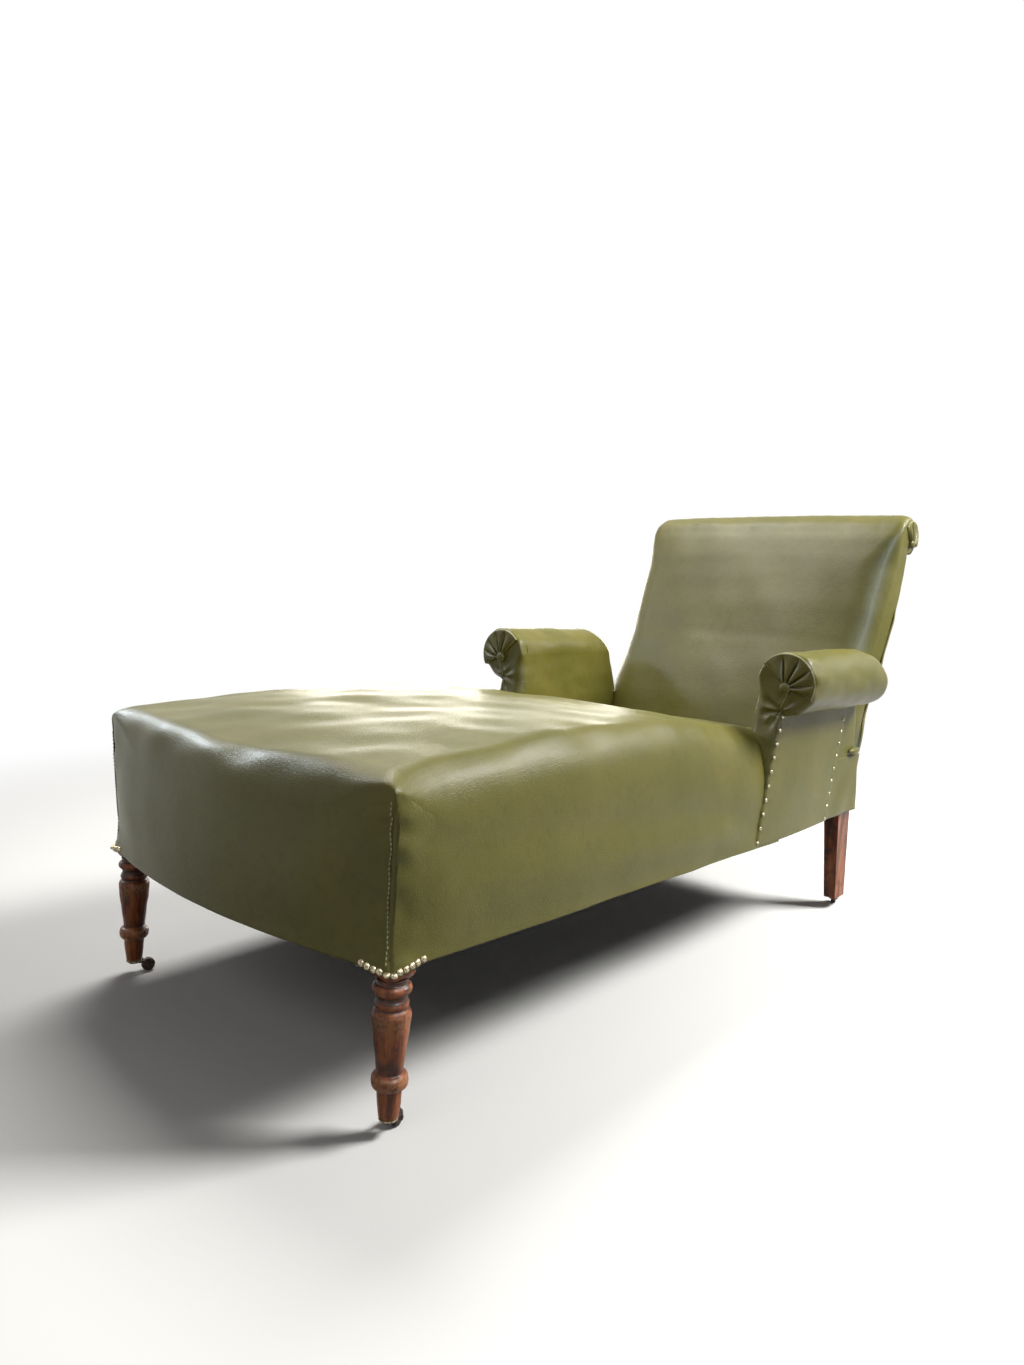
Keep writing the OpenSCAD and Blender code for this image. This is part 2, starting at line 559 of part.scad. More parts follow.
// Jute webbing, springs and hessian of the seat, and the dust cloth beneath
web_t = 1.5;
web_w = 50;
web_lift = 2;
web_z = rail_floor + web_lift;
web_along = 4;
web_across = 8;
spring_rows = 5;
spring_files = 3;
file_gap = 10;
spring_r = 34;
wire_r = 1.9;
spring_turns = 3;
function row_y(i) = mix(block_back + spring_r * 2, upright_front - spring_r * 2, i / (spring_rows - 1));
function file_x(i) = (i - (spring_files - 1) / 2) * (2 * rail_in / spring_files - file_gap);
module seat_webbing() color(jute) bench() {
    for (i = [0:web_along - 1]) {
        x = (i - (web_along - 1) / 2) * 2 * rail_in / web_along;
        box([x - web_w / 2, rail_back(abs(x) + web_w / 2) + fit, web_z],
            [x + web_w / 2, frame_end - head_set - rail_thick - fit, web_z + web_t]);
    }
    for (i = [0:web_across - 1]) {
        y = mix(block_back + web_w, upright_front - web_w, i / (web_across - 1));
        box([-rail_in + fit, y - web_w / 2, web_z + web_t], [rail_in - fit, y + web_w / 2, web_z + 2 * web_t]);
    }
}
// A waisted coil: one unbroken wire of square section with eight rings a turn
spring_low = web_z + 2 * web_t + wire_r + fit;
spring_high = rail_top - wire_r - fit;
waist_share = 0.72;
ring_steps = 8;
function coil_radius(t) = spring_r * mix(waist_share, 1, pow(2 * t - 1, 2)) - wire_r;
function coil_point(t) = let (a = 360 * spring_turns * t, r = coil_radius(t))
    [r * cos(a), r * sin(a), mix(spring_low, spring_high, t)];
module spring() {
    count = spring_turns * ring_steps;
    points = [for (k = [0:count]) let (t = k / count, p = coil_point(t), a = 360 * spring_turns * t)
        for (q = [[1, 0], [0, 1], [-1, 0], [0, -1]]) p + wire_r * [q[0] * cos(a), q[0] * sin(a), q[1]]];
    polyhedron(points, concat([[3, 2, 1, 0]],
        [for (k = [0:count - 1], i = [0:3]) let (a = 4 * k + i, b = 4 * k + (i + 1) % 4)
            for (f = [[a, b, b + 4], [a, b + 4, a + 4]]) f],
        [[4 * count, 4 * count + 1, 4 * count + 2, 4 * count + 3]]));
}
module seat_springs() color(iron) bench()
    for (i = [0:spring_rows - 1], j = [0:spring_files - 1]) translate([file_x(j), row_y(i), 0]) spring();
hessian_t = 1;
hessian_half = [
    [block_in - wad, block_front + wad], [half_w - wad, block_front + wad], [half_w - wad, notch_y - 2 * skin],
    [notch_x - skin, notch_y - 2 * skin], [notch_x - skin, upright_front - wad]];
module spring_hessian() color(jute) bench()
    translate([0, 0, rail_top + fit / 2]) linear_extrude(hessian_t) polygon(mirrored(hessian_half));
cloth_t = 0.8;
cloth_lap = 6;
cloth_back = frame_end - head_set - rail_thick + cloth_lap;
// The dust cloth's right edge from the middle of the foot to the head, cut round the leg and the upright
cloth_half = concat(
    [for (q = [0.2, 0.5, 0.8, 1]) let (x = q * (block_in - seam_gap))
        [x, rail_back(x) - cloth_lap]],
    [[block_in - seam_gap, block_back + seam_gap], [rail_in + cloth_lap, block_back + seam_gap],
        [rail_in + cloth_lap, upright_front - seam_gap], [upright_in - seam_gap, upright_front - seam_gap],
        [upright_in - seam_gap, cloth_back]]);
module bottom_cloth() color(black_cloth) bench()
    translate([0, 0, rail_floor - fit / 2 - cloth_t]) linear_extrude(cloth_t) polygon(mirrored(cloth_half));

// Back: the front outline runs from the seat up the face and round the scroll
scroll_angles = [80, 50, 25, 0, -25, -50, -75];
front_line_pts = concat([for (p = front_shares) back_point(p)],
    [for (a = scroll_angles) [roll_y + roll_r * cos(a), roll_z + roll_r * sin(a)]]);
front_count = len(front_line_pts);
function tangent(i) =
    let (d = front_line_pts[min(front_count - 1, i + 1)] - front_line_pts[max(0, i - 1)]) d / norm(d);
// Where the side wrap ends at each height: on the rear outline, or at the scroll's middle
function rear_point(h) = back_point([lookup(h, [for (p = rear_shares) [p[1], p[0]]]), h]);
function rear_at(i) = i < len(rear_shares) ? rear_point(front_shares[i][1]) : [roll_y, roll_z];
// Stations across: signed side share, how far back round the side, and the crown's share
across_stations = [
    [-1, 0.85, 0], [-1, 0.4, 0], [-1, 0.14, 0], [-0.965, 0.02, 0.1], [-0.85, 0, 0.45], [-0.55, 0, 0.85],
    [-0.2, 0, 1], [0.2, 0, 1], [0.55, 0, 0.85], [0.85, 0, 0.45], [0.965, 0.02, 0.1], [1, 0.14, 0], [1, 0.4, 0],
    [1, 0.85, 0]];
function rise_at(i) = min(1, front_shares[min(i, len(front_shares) - 1)][1]);
function crown_at(i) = back_crown * sin(180 * rise_at(i));
function back_place(i, s, e) =
    let (p = front_line_pts[i], t = tangent(i), c = crown_at(i) * s[2],
        q = p + [-t[1], t[0]] * (c - e * (s[1] < 0.3 ? 1 : 0)), g = rear_at(i), y = mix(q, g, s[1]))
    [s[0] * (half_at(rise_at(i)) - e), y[0], y[1]];
function back_sheet(e) = [for (i = [0:front_count - 1]) [for (s = across_stations) back_place(i, s, e)]];
module back_leather() color(olive) bench() sheet_slab(back_sheet(0), back_sheet(skin));

// The back's stuffing lies between its leather and the webbing on the uprights
pad_stations = [for (s = across_stations) if (s[1] < 0.1) s];
pad_gap = 2.2;
head_angles = concat([150, 127, 103], scroll_angles);
head_step = scroll_angles[0] - scroll_angles[1];
function frame_front(i) = i < len(rear_shares)
    ? rear_point(front_shares[i][1]) - [skin + fit + post_depth + pad_gap, 0]
    : let (a = head_angles[i - len(rear_shares)], r = (head_r + clear) / cos(head_step / 2))
        [roll_y + r * cos(a), roll_z + r * sin(a)];
module back_stuffing() color(hair) bench() sheet_slab(
    [for (i = [1:front_count - 2]) [for (s = pad_stations) back_place(i, s, skin + 2 * clear)]],
    [for (i = [1:front_count - 2]) [for (s = pad_stations)
        [s[0] * (half_at(rise_at(i)) - skin - clear), frame_front(i)[0], frame_front(i)[1]]]]);
module back_webbing() color(jute) bench() for (k = [1:3]) {
    a = rear_line[k];
    b = rear_line[k + 1];
    rake_angle = atan2(b[0] - a[0], b[1] - a[1]);
    translate([-post_low, mix(a[0], b[0], 0.5) - skin - fit - post_depth, mix(a[1], b[1], 0.5)])
        rotate([-rake_angle, 0, 0]) translate([0, -web_t - fit, -web_w / 2]) cube([2 * post_low, web_t, web_w]);
}
panel_skin = 2.6;
module outside_back() color(olive_dark) bench() intersection() {
    along_x(-half_w, half_w) polygon(concat(
        [[frame_end + fit, panel_low]],
        [for (p = rear_line) [p[0] - skin, p[1]]],
        [for (i = [len(rear_line) - 1:-1:0]) [rear_line[i][0] - skin + panel_skin, rear_line[i][1]]],
        [[frame_end + fit + panel_skin, panel_low]]));
    along_y(frame_end, roll_y) polygon(mirrored([
        [half_w, panel_low - cut], [half_w, rail_top], [post_low, rail_top + cover_rise],
        [post_out, roll_z], [post_out, roll_z + roll_r]]));
}

// Pleated rosettes: a round pad of folds drawn in to a covered button
pleats = 8;
button_r = 9;
button_t = 5;
rosette_t = 7;
rosette_steps = 4;
fold_deep = 2.6;
// A flat-backed disc with folds; the middle of the pleats may sit off the disc's centre
module rosette(r, off) {
    n = pleats * rosette_steps;
    rings = [[1, 0], [1, 0.35], [0.9, 0.8], [0.6, 1], [0.28, 0.8]];
    function place(q, i) = let (a = 360 * i / n, c = off * (1 - q[0]))
        [r * q[0] * cos(a) + c[0], r * q[0] * sin(a) + c[1],
            rosette_t * q[1] - (q[1] > 0.5 && i % rosette_steps == 0 ? fold_deep : 0)];
    points = concat([for (q = rings) for (i = [0:n - 1]) place(q, i)],
        [[off[0], off[1], rosette_t * 0.6], [0, 0, 0]]);
    last = (len(rings) - 1) * n;
    polyhedron(points, concat(loop_faces(len(rings), n, 0, true),
        [for (i = [0:n - 1]) [last + i, last + (i + 1) % n, len(points) - 2]],
        [for (i = [0:n - 1]) [(i + 1) % n, i, len(points) - 1]]));
}
arm_button = [0, -7];
back_button = [-4, -20];
rosette_edge = 3;
module arm_rosette_place() translate([scroll_side, scroll_y - fit, scroll_z]) rotate([90, 0, 0]) children();
module back_rosette_place() translate([back_half + fit, roll_y, roll_z]) rotate([90, 0, 90]) children();
module arm_rosette(s) color(olive) bench() on_side(s)
    arm_rosette_place() rosette(scroll_r - rosette_edge, arm_button);
module back_rosette(s) color(olive) bench() on_side(s)
    back_rosette_place() rosette(roll_r - rosette_edge, back_button);
module dome(r, h) rotate_extrude() intersection() {
    translate([0, h - (r * r + h * h) / (2 * h)]) circle(r = (r * r + h * h) / (2 * h), $fn = 64);
    square([r, h]);
}
// Each button is drawn into its pleats until it rests on them
arm_seat_share = 0.78;
back_seat_share = 0.97;
module rosette_button(place, seat_share)
    translate([place[0], place[1], rosette_t * seat_share]) dome(button_r, button_t);
module rosette_buttons() color(olive_dark) bench() for (s = [-1, 1]) on_side(s) {
    arm_rosette_place() rosette_button(arm_button, arm_seat_share);
    back_rosette_place() rosette_button(back_button, back_seat_share);
}

// Dome nails: lines along the leather on the leg blocks, and on the outside arm panels
nail_r = 4;
nail_h = 3;
nail_count = 5;
nail_step = 10.5;
nail_set = 1;
nail_rise = 2.2;
function nail_z(i) = rail_floor - skin - nail_dip + nail_r + nail_set + i * nail_rise;
module leg_nails() color(brass) bench() for (s = [-1, 1], i = [0:nail_count - 1]) on_side(s) {
    y = corner_r + i * nail_step;
    x = skin_half - corner_r - i * nail_step;
    translate([skin_half + bulge(y) + fit, y, nail_z(i)]) rotate([90, 0, 90]) dome(nail_r, nail_h);
    translate([x, arc_y(x - nail_r, skin_half, foot_bow) - fit, nail_z(i)]) rotate([90, 0, 0])
        dome(nail_r, nail_h);
}
pin_r = 2.7;
pin_h = 2.2;
pin_count = 9;
pin_set = 5;
module arm_pins() color(brass) bench()
    for (s = [-1, 1], i = [0:pin_count - 1], y = [panel_front + pin_set, panel_front + panel_span - pin_set])
        let (z = mix(panel_low + 2 * pin_set, panel_top - pin_set, i / (pin_count - 1)))
            on_side(s) translate([half_w + panel_t, rake(y, z), z]) rotate([90, 0, 90]) dome(pin_r, pin_h);

// Castors: plate, screws, fork with its pintle, axle and wheel, each at its own swivel angle
castor_turns = [77, 113, 95, 112];
function castor_x(i) = (i % 2 == 0 ? -1 : 1) * (i < 2 ? leg_x : rear_leg_x);
function castor_y(i) = i < 2 ? leg_y : rear_leg_y;
module castor_at(i) bench() translate([castor_x(i), castor_y(i), 0]) rotate([0, 0, castor_turns[i]]) children();
module castor_plates() color(brass) bench() for (i = [0:3]) translate([castor_x(i), castor_y(i), plate_z])
    mirror([i % 2 == 0 ? 1 : 0, 0, 0]) difference() {
        cylinder(r = plate_r, h = plate_t);
        translate([0, 0, -cut]) cylinder(r = pintle_r + run, h = plate_t + 2 * cut);
        plate_screw_places() translate([0, 0, -cut])
            cylinder(r = plate_screw_r + run / 2, h = plate_t + 2 * cut, $fn = 24);
    }
module castor_screws() color(brass) bench() for (i = [0:3]) translate([castor_x(i), castor_y(i), plate_z])
    mirror([i % 2 == 0 ? 1 : 0, 0, 0]) plate_screw_places()
        cylinder(r = plate_screw_r, h = plate_screw_length, $fn = 24);
fork_r = 9;
fork_t = 2.4;
fork_top = plate_z - fit;
wheel_w = 10;
cheek_gap = 0.4;
cheek_t = 2.2;
axle_r = 1.6;
axle_head_r = 2.6;
axle_head_t = 1;
axle_boss = 4;
module castor_fork(i) color(brass) castor_at(i) difference() {
    union() {
        translate([0, 0, fork_top - fork_t]) cylinder(r = fork_r, h = fork_t);
        translate([0, 0, fork_top - cut / 2]) cylinder(r = pintle_r, h = plate_t + fit + pintle_up + cut / 2);
        translate([0, 0, foot_z + fit]) cylinder(r = pintle_head_r, h = pintle_head_t);
        for (y = [wheel_w / 2 + cheek_gap, -wheel_w / 2 - cheek_gap - cheek_t]) translate([0, y, 0]) {
            along_y(0, cheek_t) polygon([[0, fork_top], [trail - wheel_r + cut, fork_top],
                [trail + axle_boss, wheel_r + axle_boss / 2], [trail + axle_boss, wheel_r - axle_boss / 2],
                [trail, wheel_r - axle_boss],
                [trail - wheel_r, fork_top - fork_t - cut / 2], [0, fork_top - fork_t]]);
        }
    }
    translate([trail, wheel_w, wheel_r]) rotate([90, 0, 0]) cylinder(r = axle_r + run / 2, h = 2 * wheel_w);
}
axle_half = wheel_w / 2 + cheek_gap + cheek_t + fit / 10;
module castor_axle(i) color(iron) castor_at(i) translate([trail, 0, wheel_r]) rotate([90, 0, 0]) {
    translate([0, 0, -axle_half]) cylinder(r = axle_r, h = 2 * axle_half);
    translate([0, 0, axle_half]) cylinder(r = axle_head_r, h = axle_head_t);
    translate([0, 0, -axle_half - axle_head_t]) cylinder(r = axle_head_r, h = axle_head_t);
}
tread_round = 2;
tread_chamfer = 0.6;
module castor_wheel(i) color(iron) castor_at(i) translate([trail, 0, wheel_r]) rotate([90, 0, 0])
    rotate_extrude() polygon([
        [axle_r + run, -wheel_w / 2], [wheel_r - tread_round, -wheel_w / 2],
        [wheel_r - tread_chamfer, -wheel_w / 2 + tread_chamfer], [wheel_r, -wheel_w / 2 + tread_round],
        [wheel_r, wheel_w / 2 - tread_round], [wheel_r - tread_chamfer, wheel_w / 2 - tread_chamfer],
        [wheel_r - tread_round, wheel_w / 2], [axle_r + run, wheel_w / 2]]);

foot_rail();
side_rail(-1);  // side_rail_left
side_rail(1);  // side_rail_right
head_rail();
cross_rail();
corner_blocks();
corner_screws();
front_leg(-1);  // front_leg_left
front_leg(1);  // front_leg_right
upright(-1);  // rear_upright_left
upright(1);  // rear_upright_right
back_top_rail();
back_tack_rail();
arm_post(-1);  // arm_post_left
arm_post(1);  // arm_post_right
arm_rail(-1);  // arm_rail_left
arm_rail(1);  // arm_rail_right
arm_stay(-1);  // arm_stay_left
arm_stay(1);  // arm_stay_right
seat_webbing();
seat_springs();
spring_hessian();
seat_stuffing();
seat_leather();
bottom_cloth();
back_webbing();
back_stuffing();
back_leather();
outside_back();
arm_stuffing(-1);  // arm_stuffing_left
arm_stuffing(1);  // arm_stuffing_right
arm_leather(-1);  // arm_leather_left
arm_leather(1);  // arm_leather_right
outside_arm(-1);  // outside_arm_left
outside_arm(1);  // outside_arm_right
rear_side_cover(-1);  // rear_side_cover_left
rear_side_cover(1);  // rear_side_cover_right
arm_rosette(-1);  // arm_rosette_left
arm_rosette(1);  // arm_rosette_right
back_rosette(-1);  // back_rosette_left
back_rosette(1);  // back_rosette_right
rosette_buttons();
leg_nails();
arm_pins();
castor_plates();
castor_screws();
castor_fork(0);  // castor_fork_front_left
castor_fork(1);  // castor_fork_front_right
castor_fork(2);  // castor_fork_back_left
castor_fork(3);  // castor_fork_back_right
castor_axle(0);  // castor_axle_front_left
castor_axle(1);  // castor_axle_front_right
castor_axle(2);  // castor_axle_back_left
castor_axle(3);  // castor_axle_back_right
castor_wheel(0);  // castor_wheel_front_left
castor_wheel(1);  // castor_wheel_front_right
castor_wheel(2);  // castor_wheel_back_left
castor_wheel(3);  // castor_wheel_back_right
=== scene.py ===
import bmesh
import bpy
import math
import numpy as np
from mathutils import Matrix, Vector
from mathutils.bvhtree import BVHTree


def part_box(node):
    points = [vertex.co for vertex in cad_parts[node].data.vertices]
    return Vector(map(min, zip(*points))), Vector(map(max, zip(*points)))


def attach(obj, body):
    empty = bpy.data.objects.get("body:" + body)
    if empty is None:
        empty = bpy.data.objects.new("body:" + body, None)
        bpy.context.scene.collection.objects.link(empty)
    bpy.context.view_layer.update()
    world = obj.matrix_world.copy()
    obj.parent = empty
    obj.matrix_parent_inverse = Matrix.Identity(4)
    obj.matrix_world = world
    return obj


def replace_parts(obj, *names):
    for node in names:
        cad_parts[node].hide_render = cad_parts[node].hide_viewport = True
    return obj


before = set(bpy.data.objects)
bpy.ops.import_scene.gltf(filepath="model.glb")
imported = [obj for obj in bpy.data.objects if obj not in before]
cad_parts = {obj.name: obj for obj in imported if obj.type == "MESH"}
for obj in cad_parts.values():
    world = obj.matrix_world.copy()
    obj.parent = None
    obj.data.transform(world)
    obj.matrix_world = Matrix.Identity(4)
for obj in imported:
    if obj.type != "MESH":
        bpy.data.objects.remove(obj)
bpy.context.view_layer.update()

# The camera stands low off the couch's near foot corner and looks up the seat to the back.
# It is turned and tilted a little, the way a camera held in the hand is. Here and below, every y is
# measured from the foot_line through the two foot corners, until a mesh is put in the shared frame.
rail_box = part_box("side_rail_right")
rail_start = 0.047
foot_line = rail_box[0].y - rail_start
eye = (1.123, foot_line - 0.683, 0.654)
yaw, pitch, tilt = (math.radians(a) for a in (41.98, 5.81, 2.43))
ahead = Vector((-math.sin(yaw) * math.cos(pitch), math.cos(yaw) * math.cos(pitch), -math.sin(pitch)))
level = Vector((math.cos(yaw), math.sin(yaw), 0))
above = level.cross(ahead)
aim = Matrix((
    level * math.cos(tilt) + above * math.sin(tilt),
    above * math.cos(tilt) - level * math.sin(tilt),
    -ahead)).transposed()
camera = bpy.data.objects.new("camera", bpy.data.cameras.new("camera"))
camera.matrix_world = Matrix.Translation(eye) @ aim.to_4x4()
camera.data.lens = 24.96
camera.data.sensor_width = 36
camera.data.sensor_fit = "AUTO"
bpy.context.scene.collection.objects.link(camera)
bpy.context.scene.camera = camera

# The seat's cover is one skin of olive leathercloth over springs and hair: the top and three
# borders, sewn at the two foot corners, drawn down over the frame, turned under and tacked.
half_w = rail_box[1].x
rail_low = rail_box[0].z
rail_top = rail_box[1].z
seat_end = 1.242
foot_bow = 0.043
# Tables of (way up the couch, measure): the top's half width, the height of its middle line, and how
# far it has fallen 300 mm aside of that line.
seat_side = ((0, 0.3440), (0.15, 0.3435), (0.3, 0.3430), (0.7, 0.3436), (0.82, 0.3465), (0.945, 0.3465),
             (0.965, 0.30), (seat_end, 0.29))
seat_crown = ((-0.05, 0.430), (0, 0.439), (0.1, 0.455), (0.2, 0.463), (0.3, 0.468), (0.45, 0.468),
              (0.6, 0.457), (0.8, 0.432), (0.96, 0.402), (1.1, 0.376), (seat_end, 0.358))
seat_camber = ((0, 0.0), (0.1, 0.006), (0.3, 0.014), (0.45, 0.012), (0.6, 0.008), (0.8, 0.001),
               (seat_end, 0))
camber_at = 0.30
# How far the rounding of the side edges reaches in and down. The foot's edge is rounded 36 mm in, and
# down by 11 mm at its corners and by 41 mm more from 140 mm inside them.
round_in = ((0, 0.038), (0.1, 0.045), (0.3, 0.055), (0.6, 0.058), (0.8, 0.065), (0.945, 0.065),
            (0.975, 0.03), (seat_end, 0.03))
round_down = ((0, 0.015), (0.04, 0.045), (0.1, 0.09), (0.3, 0.11), (0.55, 0.13), (0.8, 0.15),
              (0.945, 0.155), (0.975, 0.04), (seat_end, 0.04))
foot_round = 0.036
foot_down, foot_down_more, foot_down_over = 0.011, 0.041, 0.14
# How far the side borders' lower part stands out, and how far their edge sags below the rail. Their
# middle is fuller by a belly that fades out before the arm, and they end behind its panel.
side_flare = ((0, 0), (0.15, 0.005), (0.3, 0.008), (0.5, 0.009), (0.7, 0.006), (0.82, 0.004),
              (0.95, 0.004))
side_sag = ((0.05, 0), (0.2, 0.001), (0.44, 0.002), (0.62, 0.004), (0.86, 0.007), (0.97, 0.009),
            (1.14, 0.006), (1.26, 0))
belly, belly_end, belly_fade = 0.006, 0.72, 0.1
border_end = 0.94
# At the foot the leather lies 4 mm outside the rails. Its edge is 3 mm under them, and dips by 9 mm
# more in a V, 50 mm either way, at a leg.
leather_out = 0.004
under_rail = 0.003
leg_dip, leg_v = 0.009, 0.05
# Shares of a border's height, and how far the corner seam is drawn in there.
corner_draw = ((0, -0.001), (0.09, -0.007), (0.27, -0.008), (0.52, -0.005), (0.76, -0.002), (1, 0))
# A border's lip is turned under by three rows: how far below its edge, in shares of 50 mm, and inward.
lip_down, lip_unit = (-0.01, -0.02, -0.03), 0.05
lip_in = (0.003, 0.012, 0.022)
# Beyond this far from the middle, the foot border stands out a tenth sideways too.
splay_from, foot_splay = 0.33, 0.1
# The corner seams come in over 35 mm, downward from this height.
seam_top, seam_over = 0.422, 0.035
# Points of a mesh that are closer than this are welded into one.
weld = 0.000003


def graded(length, fine, coarse, growth=1.12):
    """Places from 0 to length, whose spacing grows by a fixed ratio from fine up to coarse."""
    steps = np.minimum(fine * growth ** np.arange(int(length / fine)), coarse)
    places = np.concatenate([[0], np.cumsum(steps)])
    places = places[:np.searchsorted(places, length) + 1]
    return places * (length / places[-1])


def flowing(at, stops, window=0.03):
    """A broken line through stops of (place, value), softened by its mean over a sliding window."""
    places, values = np.array(stops, float).T
    spread = np.linspace(-window, window, 9)
    return np.interp(np.asarray(at)[..., None] + spread, places, values).mean(axis=-1)


def ease(t):
    """Smooth step from 0 to 1: 3t² - 2t³, with t held between 0 and 1."""
    t = np.clip(t, 0, 1)
    return t * t * (3 - 2 * t)


def hump(t, width):
    """Bell of height 1 at 0: exp(-(t / width)²)."""
    return np.exp(-(t / width) ** 2)


def swells(points, length, seed, count=9):
    """Soft lumps about the given length apart: the mean of plane waves in seeded directions."""
    draw = np.random.default_rng(seed)
    ways = draw.normal(size=(count, 3))
    ways /= np.linalg.norm(ways, axis=1)[:, None] * length * draw.uniform(0.7, 1.5, (count, 1))
    start = draw.uniform(0, 6.28, count)
    return np.sin(2 * np.pi * (points @ ways.T) + start).sum(-1) / math.sqrt(count)


def lumps(points, *layers):
    """The sum of layers of swells, each given as its height, length and seed."""
    return sum(height * swells(points, length, seed) for height, length, seed in layers)


def vectors(mesh, key):
    """All of a mesh's vertex places (co) or normals (normal) as rows of three."""
    values = np.empty(len(mesh.vertices) * 3)
    mesh.vertices.foreach_get(key, values)
    return values.reshape(-1, 3)


def skin_mesh(name, grids, relief=None, wear_and_highlight_marks=None):
    """Welds grids of points into one mesh, turns its faces outward and lifts each point along its
    normal by relief(points, normals, mark), where mark is the grids' fourth channel, if any.
    The last function, given points and mark, is kept for the finish: how pale the surface is made, from
    0 to 1, for scuffed leather and, at the buttons' rims, a painted highlight. Last, the mesh goes from
    the foot line to its place in the shared frame."""
    corners, faces, start = [], [], 0
    for grid in grids:
        rows, columns = grid.shape[:2]
        at = start + np.arange(rows * columns).reshape(rows, columns)
        faces.append(np.stack([at[:-1, :-1], at[:-1, 1:], at[1:, 1:], at[1:, :-1]], -1).reshape(-1, 4))
        corners.append(grid.reshape(-1, grid.shape[2]))
        start += rows * columns
    corners = np.concatenate(corners)
    mesh = bpy.data.meshes.new(name)
    mesh.from_pydata(corners[:, :3].tolist(), [], np.concatenate(faces).tolist())
    layer = mesh.attributes.new("worn", "FLOAT", "POINT")
    mark = corners[:, 3] if corners.shape[1] > 3 else 0 * corners[:, 0]
    layer.data.foreach_set("value", mark.astype(np.float32))
    work = bmesh.new()
    work.from_mesh(mesh)
    bmesh.ops.remove_doubles(work, verts=work.verts, dist=weld)
    bmesh.ops.recalc_face_normals(work, faces=work.faces)
    work.to_mesh(mesh)
    work.free()
    points = vectors(mesh, "co")
    normals = vectors(mesh, "normal")
    if ((points - points.mean(0)) * normals).sum() < 0:
        mesh.flip_normals()
        normals = -normals
    mark = np.empty(len(mesh.vertices))
    mesh.attributes["worn"].data.foreach_get("value", mark)
    if relief is not None:
        points = points + normals * relief(points, normals, mark)[:, None]
    wear_and_highlight_values = wear_and_highlight_marks(points, mark) if wear_and_highlight_marks else 0 * mark
    mesh.attributes["worn"].data.foreach_set("value", wear_and_highlight_values.astype(np.float32))
    points = points + np.array([0, foot_line, 0])
    mesh.vertices.foreach_set("co", points.ravel())
    mesh.polygons.foreach_set("use_smooth", np.ones(len(mesh.polygons), bool))
    mesh.update()
    piece = bpy.data.objects.new(name, mesh)
    bpy.context.scene.collection.objects.link(piece)
    return piece


def foot_edge(x):
    """The foot's plan line: a shallow arc that stands out by the bow at its middle."""
    return -foot_bow * (1 - np.minimum(1, (x / (half_w + leather_out)) ** 2))


def seat_top(x, y):
    """Height of the seat before its edges are rounded: the crown less the camber across it."""
    return flowing(y, seat_crown) - flowing(y, seat_camber) * (x / camber_at) ** 2


